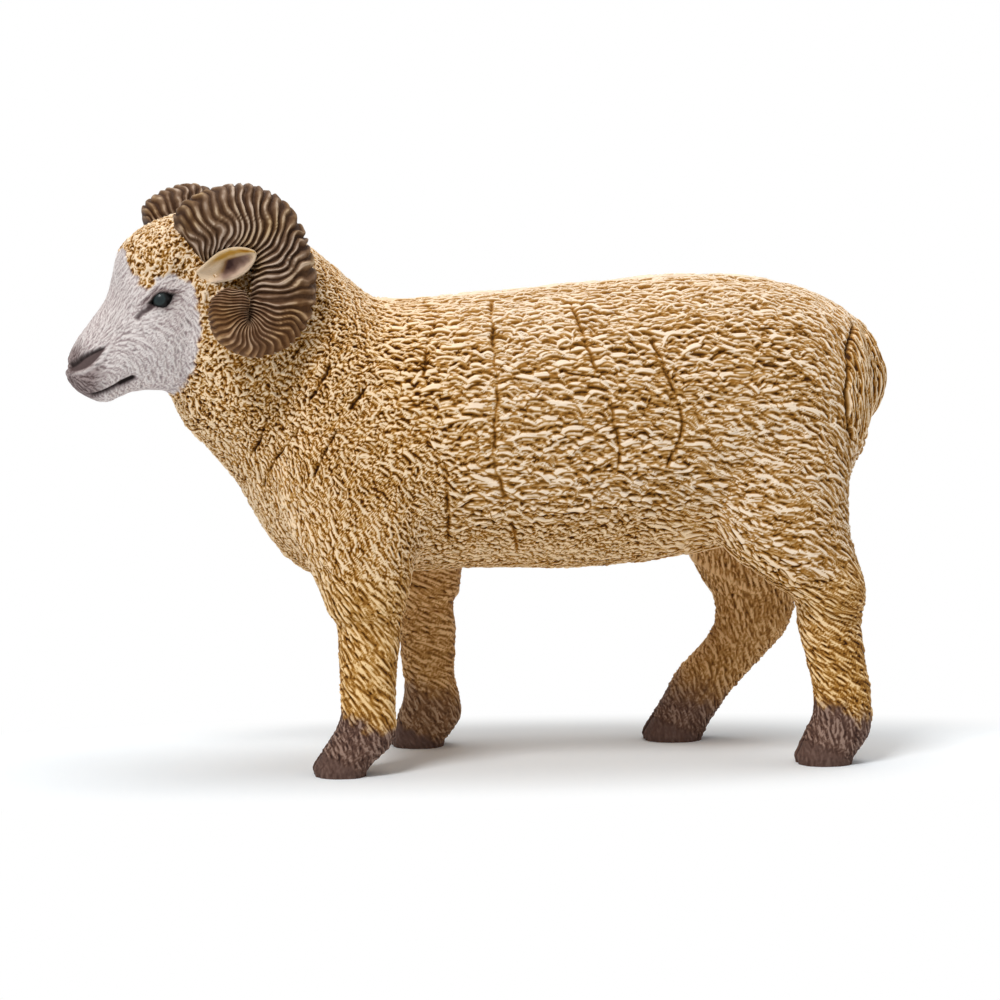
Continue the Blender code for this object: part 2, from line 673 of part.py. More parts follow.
def make_horn(name, parent, side, head, torso):
    """One horn, cut to lie on the fleece and seated in the crown."""
    horn = loft(name, horn_rings(side))
    horn.parent = parent
    bpy.context.view_layer.update()
    cut_clear(horn, head)
    cut_clear(horn, torso)
    back, up, out = HORN_PEG_PLACE_SHARES
    inward = Vector((0.0, -side, 0.0))
    root = horn_point(back, up) - inward * HORN_SIDE_REACH * out
    seat(horn, head, root, inward, HORN_PEG_RADIUS, HORN_PEG_LENGTH)
    return horn


def ear_rings(root, way, across, out):
    """Crescent rings of an ear from its root to its tip."""
    rings = []
    for along, half, wall in EAR_SHARES:
        centre = root + way * EAR_LENGTH * along
        width = EAR_HALF_WIDTH * half
        ring = []
        for step in range(-EAR_STEPS, EAR_STEPS + 1):
            place = step / EAR_STEPS
            bow = EAR_CUP * half * (1 - place ** 2)
            ring.append(centre + across * width * place + out * -bow)
        for step in range(EAR_STEPS - 1, -EAR_STEPS, -1):
            place = step / EAR_STEPS
            bow = EAR_CUP * half * (1 - place ** 2)
            thick = EAR_WALL * wall * (1 - place ** 4)
            ring.append(centre + across * width * place + out * (thick - bow))
        rings.append(ring)
    return rings


def make_ear(name, parent, side, head, horn):
    """One ear, seated in the fleece in front of the horn."""
    back, up, out_share = EAR_PLACE_SHARES
    root = horn_point(back, up) + Vector((0.0, side * HEAD_HALF_WIDTH * out_share, 0.0))
    flat = Vector((math.sin(EAR_SWEEP_BACK), side * math.cos(EAR_SWEEP_BACK), 0.0))
    way = (flat * math.cos(EAR_RISE) + Vector((0.0, 0.0, math.sin(EAR_RISE)))).normalized()
    out = Vector((-math.cos(EAR_SWEEP_BACK), side * math.sin(EAR_SWEEP_BACK), -math.sin(EAR_RISE)))
    across = way.cross(out).normalized()
    out = across.cross(way).normalized()
    ear = loft(name, ear_rings(root, way, across, out))
    ear.parent = parent
    bpy.context.view_layer.update()
    cut_clear(ear, head)
    cut_clear(ear, horn)
    seat(ear, head, root + way * EAR_LENGTH * EAR_PEG_ROOT_SHARE, -way,
         EAR_PEG_RADIUS, EAR_PEG_LENGTH)
    return ear


def stand_on_floor(ram):
    """Put the middle of the figure's box over the origin."""
    bpy.context.view_layer.update()
    corners = [node.matrix_world @ vertex.co
               for node in bpy.data.objects if node.type == "MESH" for vertex in node.data.vertices]
    for axis in range(2):
        places = [corner[axis] for corner in corners]
        ram.location[axis] -= (min(places) + max(places)) / 2


def main():
    """Make the ram."""
    clear_scene()
    ram = bpy.data.objects.new("ram", None)
    bpy.context.scene.collection.objects.link(ram)
    head_place = bpy.data.objects.new("head_place", None)
    bpy.context.scene.collection.objects.link(head_place)
    head_place.parent = ram
    head_place.location = (TURN_X, 0.0, 0.0)
    head_place.rotation_euler = (0.0, 0.0, HEAD_TURN)
    bpy.context.view_layer.update()

    torso = make_torso()
    legs = (
        ("leg_front_left", LEFT_FRONT_LEG_SHARES, LEFT_FRONT_LEG_X, -1),
        ("leg_front_right", RIGHT_FRONT_LEG_SHARES, RIGHT_FRONT_LEG_X, 1),
        ("leg_rear_left", LEFT_REAR_LEG_SHARES, LEFT_REAR_LEG_X, -1),
        ("leg_rear_right", RIGHT_REAR_LEG_SHARES, RIGHT_REAR_LEG_X, 1),
    )
    for name, shares, leg_x, side in legs:
        leg = make_leg(name, shares, leg_x, side, torso)
        finish_node(leg, ram, LEG)
    finish_node(make_tail(torso), ram, FLEECE)
    head = make_head(head_place, torso)
    for name, side in (("left", -1), ("right", 1)):
        horn = make_horn("horn_" + name, head_place, side, head, torso)
        ear = make_ear("ear_" + name, head_place, side, head, horn)
        finish_node(horn, head_place, HORN)
        finish_node(ear, head_place, EAR)
    finish_node(head, head_place, FACE)
    finish_node(torso, ram, FLEECE)
    stand_on_floor(ram)


main()
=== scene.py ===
"""Toy ram: the moulded and painted look of a farm animal figure.

The coat is real relief. One skin is drawn over the glued mouldings, locks of wool and hair
are laid on it one by one, and it is then parted into the pieces again. The horns, ears and
eyes are modelled on their own. Sizes in the classes are millimetres, angles are degrees.
"""

import logging
import math
from collections.abc import Callable
from dataclasses import asdict, astuple, dataclass, field
from enum import Enum

import bmesh
import bpy
import numpy as np
from mathutils import Matrix, Vector, kdtree, noise
from mathutils.bvhtree import BVHTree


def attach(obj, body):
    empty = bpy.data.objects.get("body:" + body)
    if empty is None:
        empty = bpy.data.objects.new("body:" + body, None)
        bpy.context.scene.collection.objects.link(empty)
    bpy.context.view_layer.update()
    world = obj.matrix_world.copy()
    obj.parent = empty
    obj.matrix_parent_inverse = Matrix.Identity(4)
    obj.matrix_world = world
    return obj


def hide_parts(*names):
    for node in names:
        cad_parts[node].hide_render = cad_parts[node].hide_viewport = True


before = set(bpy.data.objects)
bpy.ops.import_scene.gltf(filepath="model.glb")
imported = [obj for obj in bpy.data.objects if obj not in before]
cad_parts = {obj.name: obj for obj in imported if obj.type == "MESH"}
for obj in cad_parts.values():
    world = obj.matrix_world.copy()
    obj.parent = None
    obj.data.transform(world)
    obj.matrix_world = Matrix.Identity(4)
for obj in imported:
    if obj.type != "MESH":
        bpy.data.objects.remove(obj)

MM = 0.001
BODY = "root"
UV_LAYER = "OFBake"
SIDES = ((-1.0, "left"), (1.0, "right"))
log = logging.getLogger("ram")

Pair = tuple[float, float]
Triple = tuple[float, float, float]
Colour = Triple
Line = tuple[Pair, ...]
Ramp = Pair
Socket = bpy.types.NodeSocket
Feed = Socket | Colour | float


class Slot(Enum):
    """The material slots of the record."""

    FLEECE = "fleece"
    FACE = "face"
    HORN = "horn"
    EAR = "ear"
    LEG = "leg"


class Zone(Enum):
    """The parts of the coat that are cut in their own way."""

    BARREL = "barrel"
    SHOULDER = "shoulder"
    CHEST = "chest"
    NECK = "neck"
    BELLY = "belly"
    THIGH = "thigh"
    RUMP = "rump"
    TAIL = "tail"
    FORELEG = "foreleg"
    HIND_LEG = "hind leg"
    INNER_FORELEG = "inner foreleg"
    INNER_HIND_LEG = "inner hind leg"
    CROWN = "crown"
    FACE = "face"
    HOOF = "hoof"


# Numbers


def ease(low: float, high: float, value: np.ndarray) -> np.ndarray:
    """A soft step from 0 at low to 1 at high, which may run either way."""
    share = np.clip((value - low) / (high - low), 0.0, 1.0)
    return share * share * (3.0 - 2.0 * share)


def bell(middle: float, width: float, value: np.ndarray) -> np.ndarray:
    """A soft bump of 1 at the middle, mostly gone two widths away."""
    return np.exp(-((value - middle) / width) ** 2)


def height_of(line: Line, value: np.ndarray) -> np.ndarray:
    """The second number of a line where its first one has these values."""
    return np.interp(value, *np.array(line).T)


def unit(vectors: np.ndarray) -> np.ndarray:
    """The rows, each made one long."""
    length = np.linalg.norm(vectors, axis=1, keepdims=True)
    return vectors / np.maximum(length, 1e-9)


def smooth_rows(rows: np.ndarray, steps: int) -> np.ndarray:
    """Fill a table with rows on a smooth curve through its own.

    Args:
        rows: the table, one row a place.
        steps: how many rows each span between two of them gets.

    Returns:
        The filled table, which ends on the last row.
    """
    padded = np.vstack([rows[:1], rows, rows[-1:]])
    filled = []
    for index in range(len(rows) - 1):
        a, b, c, d = padded[index:index + 4]
        for t in np.arange(steps) / steps:
            filled.append(0.5 * (2 * b + (c - a) * t + (2 * a - 5 * b + 4 * c - d) * t ** 2
                                 + (3 * b - a - 3 * c + d) * t ** 3))
    filled.append(rows[-1])
    return np.array(filled)


def cloudiness(points: np.ndarray, scale: float, shift: float = 0.0) -> np.ndarray:
    """Smooth noise of about -1 to 1 at each point.

    Args:
        points: places in millimetres.
        scale: size of a cloud in millimetres.
        shift: moves the pattern, so that two calls differ.

    Returns:
        One value a point.
    """
    return np.array([noise.noise(Vector(p)) for p in points / scale + shift])


# Shader groups


class Group:
    """Builds one shader node group with named sockets."""

    def __init__(self, name: str, inputs: dict[str, float | Colour], outputs: dict[str, str]) -> None:
        """Open the group.

        Args:
            name: the group's name.
            inputs: each input's default, a number or a colour.
            outputs: each output's socket type.
        """
        self.tree = bpy.data.node_groups.new(name, "ShaderNodeTree")
        for label, value in inputs.items():
            kind = "NodeSocketColor" if isinstance(value, tuple) else "NodeSocketFloat"
            socket = self.tree.interface.new_socket(label, in_out="INPUT", socket_type=kind)
            socket.default_value = (*value, 1.0) if isinstance(value, tuple) else value
        for label, kind in outputs.items():
            self.tree.interface.new_socket(label, in_out="OUTPUT", socket_type=kind)
        self.source = self.tree.nodes.new("NodeGroupInput").outputs
        self.sink = self.tree.nodes.new("NodeGroupOutput").inputs


class Wiring:
    """Short ways to place and join nodes in one tree."""

    def __init__(self, tree: bpy.types.NodeTree) -> None:
        """Work on this tree."""
        self.tree = tree

    def node(self, kind: str, **settings: str | bool | bpy.types.NodeTree) -> bpy.types.Node:
        """Add a node.

        Args:
            kind: the node's type.
            settings: its own properties, by name.

        Returns:
            The node.
        """
        made = self.tree.nodes.new(kind)
        for name, value in settings.items():
            setattr(made, name, value)
        return made

    def feed(self, socket: Socket, value: Feed) -> None:
        """Join an output to a socket, or type a value into it.

        Args:
            socket: the input to fill.
            value: an output, a colour, three numbers or one number.
        """
        if isinstance(value, Socket):
            self.tree.links.new(value, socket)
        elif socket.type == "RGBA":
            socket.default_value = (*value, 1.0)
        else:
            socket.default_value = value

    def math(self, operation: str, *values: Socket | float) -> Socket:
        """Work out a number.

        Args:
            operation: the Math node's operation.
            values: what it works on.

        Returns:
            The result.
        """
        made = self.node("ShaderNodeMath", operation=operation)
        for socket, value in zip(made.inputs, values):
            self.feed(socket, value)
        return made.outputs[0]

    def mix(self, share: Feed, first: Feed, second: Feed, blend: str = "MIX") -> Socket:
        """Mix two colours.

        Args:
            share: how much of the second colour shows.
            first: the colour underneath.
            second: the colour over it.
            blend: how the two are mixed.

        Returns:
            The mixed colour.
        """
        made = self.node("ShaderNodeMix", data_type="RGBA", blend_type=blend)
        colours = [socket for socket in made.inputs if socket.type == "RGBA"]
        self.feed(made.inputs["Factor"], share)
        self.feed(colours[0], first)
        self.feed(colours[1], second)
        return next(socket for socket in made.outputs if socket.type == "RGBA")

    def ramp(self, value: Socket, stops: tuple[tuple[float, Colour], ...]) -> Socket:
        """Turn a number into a colour.

        Args:
            value: the number, from 0 to 1.
            stops: places on the way, each with its colour.

        Returns:
            The colour.
        """
        made = self.node("ShaderNodeValToRGB")
        self.feed(made.inputs["Fac"], value)
        elements = made.color_ramp.elements
        while len(elements) < len(stops):
            elements.new(0.5)
        for element, (place, colour) in zip(elements, stops):
            element.position = place
            element.color = (*colour, 1.0)
        return made.outputs["Color"]

    def soft_step(self, value: Socket, low: float, high: float) -> Socket:
        """Step softly from 0 to 1.

        Args:
            value: the number to look at.
            low: where the step starts.
            high: where it ends.

        Returns:
            The step.
        """
        made = self.node("ShaderNodeMapRange", interpolation_type="SMOOTHSTEP")
        self.feed(made.inputs["Value"], value)
        made.inputs["From Min"].default_value = low
        made.inputs["From Max"].default_value = high
        return made.outputs["Result"]

    def noise(self, scale: Socket | float, detail: float = 2.0) -> Socket:
        """Noise over the piece.

        Args:
            scale: how many clouds fit in a metre.
            detail: how many finer clouds lie in each.

        Returns:
            The noise, from 0 to 1.
        """
        made = self.node("ShaderNodeTexNoise")
        self.feed(made.inputs["Vector"], self.place())
        self.feed(made.inputs["Scale"], scale)
        made.inputs["Detail"].default_value = detail
        return made.outputs["Fac"]

    def stored(self, name: str) -> Socket:
        """A value stored on the mesh under a name."""
        return self.node("ShaderNodeAttribute", attribute_name=name).outputs["Fac"]

    def place(self) -> Socket:
        """The place on the piece at rest."""
        return self.node("ShaderNodeTexCoord").outputs["Object"]

    def group(self, tree: bpy.types.NodeTree, **values: Feed) -> bpy.types.Node:
        """Place a group.

        Args:
            tree: the group's tree.
            values: its inputs, with _ for each space of their names.

        Returns:
            The group's node.
        """
        made = self.node("ShaderNodeGroup", node_tree=tree)
        for name, value in values.items():
            self.feed(made.inputs[name.replace("_", " ").capitalize()], value)
        return made


@dataclass(frozen=True)
class ReliefPaint:
    """Paint laid as a toy's is: dark wash in the grooves, body colour, pale dry-brushed tips."""

    cloud_detail: float = 3.0
    cloud_share: float = 0.26
    grain_scale: float = 2600.0
    grain_share: float = 0.14
    slope_ramp: Ramp = (-0.02, 0.25)
    body_ramp: Ramp = (0.22, 0.50)
    tip_ramp: Ramp = (0.46, 0.82)
    roughness: float = 0.74
    grain_sheen: float = -0.16

    def tree(self) -> bpy.types.NodeTree:
        """The node group, whose inputs are one relief value and the paint on it."""
        group = Group(
            "relief_paint",
            {"Relief": 0.5, "Groove": (0.05, 0.02, 0.01), "Slope": (0.3, 0.2, 0.1),
             "Body": (0.5, 0.35, 0.15), "Tip": (0.8, 0.7, 0.6), "Brush": 0.6, "Patch scale": 120.0},
            {"Color": "NodeSocketColor", "Roughness": "NodeSocketFloat"})
        wire = Wiring(group.tree)
        clouds = wire.noise(group.source["Patch scale"], self.cloud_detail)
        grain = wire.noise(self.grain_scale)
        uneven = group.source["Relief"]
        for pattern, share in ((clouds, self.cloud_share), (grain, self.grain_share)):
            uneven = wire.math("MULTIPLY_ADD", wire.math("SUBTRACT", pattern, 0.5), share, uneven)
        colour = wire.mix(wire.soft_step(uneven, *self.slope_ramp), group.source["Groove"],
                          group.source["Slope"])
        colour = wire.mix(wire.soft_step(uneven, *self.body_ramp), colour, group.source["Body"])
        tips = wire.math("MULTIPLY", wire.soft_step(uneven, *self.tip_ramp), group.source["Brush"])
        wire.feed(group.sink["Color"], wire.mix(tips, colour, group.source["Tip"]))
        wire.feed(group.sink["Roughness"],
                  wire.math("MULTIPLY_ADD", grain, self.grain_sheen, self.roughness))
        return group.tree


@dataclass(frozen=True)
class Strands:
    """Fine strands along each lock, with the grain of dry paint over them."""

    waver_scale: float = 420.0
    grain_scale: float = 5200.0
    grain_detail: float = 3.0

    def tree(self) -> bpy.types.NodeTree:
        """The node group, which puts out a height for a bump."""
        group = Group("strands", {"Across": 0.0, "Relief": 0.5, "Strand count": 3.0, "Grain": 0.3},
                      {"Height": "NodeSocketFloat"})
        wire = Wiring(group.tree)
        turns = wire.math("MULTIPLY", group.source["Across"], group.source["Strand count"])
        phase = wire.math("MULTIPLY", wire.math("ADD", turns, wire.noise(self.waver_scale)), math.tau)
        strands = wire.math("MULTIPLY", wire.math("SINE", phase), group.source["Relief"])
        grain = wire.noise(self.grain_scale, self.grain_detail)
        wire.feed(group.sink["Height"], wire.math("MULTIPLY_ADD", grain, group.source["Grain"], strands))
        return group.tree


def tint(red: int, green: int, blue: int) -> Colour:
    """A colour written as on screen, 0 to 255, as linear light."""
    shares = [value / 255.0 for value in (red, green, blue)]
    return tuple(((share + 0.055) / 1.055) ** 2.4 if share > 0.04045 else share / 12.92
                 for share in shares)


@dataclass(frozen=True)
class Paint:
    """Four colours of one painted relief."""

    groove: Colour
    slope: Colour
    body: Colour
    tip: Colour
    brush: float = 1.0
    patch_scale: float = 120.0


WOOL = Paint(tint(56, 27, 2), tint(150, 101, 36), tint(187, 145, 88), tint(246, 224, 198))
GOLD_WOOL = Paint(tint(54, 23, 0), tint(145, 90, 15), tint(194, 148, 80), tint(252, 222, 182))
# Browner wool under the belly and on the legs' inner sides: partly its own paint, partly painted shade.
UNDER_WOOL_AND_SHADE = Paint(tint(60, 31, 6), tint(130, 86, 38), tint(172, 124, 68), tint(222, 178, 126))
LEG_HAIR = Paint(tint(44, 18, 0), tint(130, 83, 25), tint(176, 127, 58), tint(244, 208, 154))
HOOF = Paint(tint(48, 30, 24), tint(78, 55, 46), tint(100, 74, 62), tint(150, 124, 110))
CLAW = Paint(tint(50, 34, 29), tint(78, 57, 49), tint(95, 72, 63), tint(118, 94, 84))
FACE = Paint(tint(104, 84, 86), tint(165, 149, 148), tint(198, 185, 182), tint(230, 221, 217))
NOSE = Paint(tint(60, 46, 44), tint(98, 82, 80), tint(124, 108, 106), tint(160, 144, 141))
HORN = Paint(tint(54, 32, 16), tint(90, 65, 46), tint(122, 97, 77), tint(186, 164, 145), 1.0, 160.0)
EAR = Paint(tint(168, 108, 26), tint(190, 144, 62), tint(206, 176, 134), tint(226, 202, 172))
EAR_HOLLOW = Paint(tint(58, 36, 34), tint(104, 78, 68), tint(148, 120, 106), tint(202, 176, 154))
PIT = tint(28, 20, 18)
COAT_LAYERS = {"gold": GOLD_WOOL, "hair": LEG_HAIR, "under": UNDER_WOOL_AND_SHADE, "hoof": HOOF, "claw": CLAW,
               "skin": FACE, "nose": NOSE}


class Finishes:
    """Builds the materials of the figure, each once."""

    matt: float = 0.10
    coat_strands: float = 1.3
    coat_bump: float = 0.035
    hair_calm: float = -0.85
    horn_bump: float = 0.03
    horn_grain: float = 0.8
    ear_bump: float = 0.02
    olive: Colour = (1.05, 0.92, 0.50)
    olive_scale: float = 210.0
    olive_ramp: Ramp = (0.42, 0.66)
    warm_tip: Colour = (1.08, 0.85, 0.60)
    stain: float = 0.6
    horn_polish: float = 0.1
    iris_rings: tuple[tuple[float, Colour], ...] = (
        (0.0, tint(30, 38, 40)), (0.28, tint(36, 46, 47)), (0.42, tint(40, 52, 52)),
        (0.53, tint(18, 20, 20)), (0.65, tint(9, 8, 8)))
    eye_shade: Colour = (0.02, 0.02, 0.022)
    eye_shade_share: float = 0.3
    eye_shade_scale: float = 900.0
    eye_roughness: float = 0.3
    eye_gloss: float = 0.12

    def __init__(self) -> None:
        """Build the shader groups that the materials share."""
        self.relief_paint = ReliefPaint().tree()
        self.strands = Strands().tree()

    def open(self, name: str) -> tuple[bpy.types.Material, Wiring, bpy.types.Node]:
        """Start a matt material.

        Args:
            name: the material's name.

        Returns:
            The material, its wiring and its shader.
        """
        material = bpy.data.materials.new(name)
        material.use_nodes = True
        shader = material.node_tree.nodes["Principled BSDF"]
        shader.inputs["Specular IOR Level"].default_value = self.matt
        return material, Wiring(material.node_tree), shader

    def relief(self, wire: Wiring, paint: Paint) -> bpy.types.Node:
        """Place the relief paint group on the stored relief."""
        return wire.group(self.relief_paint, relief=wire.stored("relief"), **asdict(paint))

    def bump(self, wire: Wiring, shader: bpy.types.Node, depth: float, relief: Socket,
             **settings: float) -> None:
        """Bend the shader's normal by fine strands.

        Args:
            wire: the material's wiring.
            shader: the material's shader.
            depth: the depth of the strands in millimetres.
            relief: how strong they are at each place.
            settings: further inputs of the strand group.
        """
        strands = wire.group(self.strands, across=wire.stored("across"), relief=relief, **settings)
        made = wire.node("ShaderNodeBump")
        made.inputs["Strength"].default_value = 1.0
        made.inputs["Distance"].default_value = depth * MM
        wire.feed(made.inputs["Height"], strands.outputs["Height"])
        wire.feed(shader.inputs["Normal"], made.outputs["Normal"])

    def stained(self, wire: Wiring, share: Socket, colour: Socket, stain: Colour) -> Socket:
        """A colour with a see-through stain over it where the share says."""
        return wire.mix(wire.math("MULTIPLY", share, self.stain), colour,
                        wire.mix(1.0, colour, stain, "MULTIPLY"))

    def coat(self) -> bpy.types.Material:
        """Fleece, hair, hooves and face, each where the mesh stores its share."""
        material, wire, shader = self.open("painted_coat")
        wool = self.relief(wire, WOOL)
        colour = wool.outputs["Color"]
        for share, paint in COAT_LAYERS.items():
            colour = wire.mix(wire.stored(share), colour, self.relief(wire, paint).outputs["Color"])
        wire.feed(shader.inputs["Base Color"], wire.mix(wire.stored("pit"), colour, PIT))
        wire.feed(shader.inputs["Roughness"], wool.outputs["Roughness"])
        woolly = wire.math("MULTIPLY_ADD", wire.stored("hair"), self.hair_calm, 1.0)
        self.bump(wire, shader, self.coat_bump, wire.math("MULTIPLY", wire.stored("relief"), woolly),
                  strand_count=self.coat_strands)
        return material

    def horn(self) -> bpy.types.Material:
        """Brown horn with pale brushed ridges and dark grooves."""
        material, wire, shader = self.open("painted_horn")
        paint = self.relief(wire, HORN)
        start, full = self.olive_ramp
        patches = wire.ramp(wire.noise(self.olive_scale),
                            ((start, (0.0, 0.0, 0.0)), (full, (1.0, 1.0, 1.0))))
        colour = self.stained(wire, patches, paint.outputs["Color"], self.olive)
        colour = self.stained(wire, wire.stored("tip"), colour, self.warm_tip)
        wire.feed(shader.inputs["Base Color"], colour)
        wire.feed(shader.inputs["Roughness"],
                  wire.math("SUBTRACT", paint.outputs["Roughness"], self.horn_polish))
        self.bump(wire, shader, self.horn_bump, wire.stored("relief"), grain=self.horn_grain)
        return material

    def ear(self) -> bpy.types.Material:
        """Cream ear with a golden rim and a darker hollow."""
        material, wire, shader = self.open("painted_ear")
        outer, hollow = self.relief(wire, EAR), self.relief(wire, EAR_HOLLOW)
        wire.feed(shader.inputs["Base Color"],
                  wire.mix(wire.stored("hollow"), outer.outputs["Color"], hollow.outputs["Color"]))
        wire.feed(shader.inputs["Roughness"], outer.outputs["Roughness"])
        self.bump(wire, shader, self.ear_bump, wire.stored("relief"))
        return material

    def eye(self) -> bpy.types.Material:
        """A near-black eye with a grey-blue glint ring under clear gloss."""
        material, wire, shader = self.open("painted_eye")
        iris = wire.ramp(wire.stored("iris"), self.iris_rings)
        shade = wire.math("MULTIPLY", wire.noise(self.eye_shade_scale), self.eye_shade_share)
        wire.feed(shader.inputs["Base Color"], wire.mix(shade, iris, self.eye_shade))
        shader.inputs["Roughness"].default_value = self.eye_roughness
        shader.inputs["Coat Weight"].default_value = self.eye_gloss
        return material


# Places


@dataclass
class Places:
    """Where the figure stands in the frame, in millimetres."""

    shift: Triple = (-0.669, 0.752, 0.0)
    head_pivot: Triple = (-27.0, 0.0, 0.0)
    head_turn: float = 14.0

    def turn(self) -> np.ndarray:
        """The rotation of the head about the vertical."""
        return np.array(Matrix.Rotation(math.radians(self.head_turn), 3, "Z"))

    def to_head(self, points: np.ndarray) -> np.ndarray:
        """Points of the frame as seen from the turned head."""
        return (points - np.array(self.shift) - np.array(self.head_pivot)) @ self.turn()

    def from_head(self, points: np.ndarray) -> np.ndarray:
        """Points given in the turned head, in the frame."""
        return points @ self.turn().T + np.array(self.head_pivot) + np.array(self.shift)

    def to_ram(self, points: np.ndarray) -> np.ndarray:
        """Points of the frame from the ram's own middle line."""
        return points - np.array(self.shift)


# Coat


@dataclass(frozen=True)
class Cut:
    """How the locks of one zone are cut: sizes in millimetres, lean and scatter in degrees."""

    length: float
    width: float
    height: float
    arch: float
    lean: float
    scatter: float


# Where each zone of the fleece begins and is full: along the ram, up it, or by the skin's slope
REACHES = {
    Zone.SHOULDER: (("x", -1.0, -8.0), ("z", 47.0, 39.0)),
    Zone.CHEST: (("x", -13.0, -19.0), ("z", 48.0, 41.0)),
    Zone.NECK: (("x", -9.0, -17.0), ("z", 39.0, 45.0)),
    Zone.BELLY: (("up", -0.2, -0.7), ("z", 37.0, 33.0)),
    Zone.THIGH: (("x", 18.0, 25.0), ("z", 52.0, 44.0)),
    Zone.RUMP: (("x", 38.0, 47.0), ("z", 28.0, 38.0)),
}

CUTS = {
    Zone.BARREL: Cut(3.6, 1.14, 0.60, 0.70, 3.0, 12.0),
    Zone.SHOULDER: Cut(2.4, 0.62, 0.46, 0.26, 42.0, 14.0),
    Zone.CHEST: Cut(2.6, 0.60, 0.44, 0.18, 61.0, 13.0),
    Zone.NECK: Cut(1.9, 0.62, 0.50, 0.36, 38.0, 28.0),
    Zone.BELLY: Cut(2.0, 0.62, 0.46, 0.24, 20.0, 24.0),
    Zone.THIGH: Cut(3.8, 0.92, 0.52, 0.42, 19.0, 13.0),
    Zone.RUMP: Cut(3.9, 0.88, 0.52, 0.36, 46.0, 13.0),
    Zone.TAIL: Cut(5.2, 0.90, 0.72, 0.14, 83.0, 8.0),
    Zone.FORELEG: Cut(5.6, 0.54, 0.44, 0.08, 50.0, 4.0),
    Zone.HIND_LEG: Cut(5.8, 0.54, 0.44, 0.10, 31.0, 4.0),
    Zone.INNER_FORELEG: Cut(5.0, 0.58, 0.34, 0.06, 24.0, 4.0),
    Zone.INNER_HIND_LEG: Cut(3.4, 0.54, 0.34, 0.06, 74.0, 8.0),
    Zone.CROWN: Cut(1.3, 0.70, 0.44, 0.50, 20.0, 90.0),
    Zone.FACE: Cut(2.6, 0.50, 0.17, 0.06, 0.0, 9.0),
    Zone.HOOF: Cut(3.4, 0.50, 0.24, 0.08, 74.0, 9.0),
}


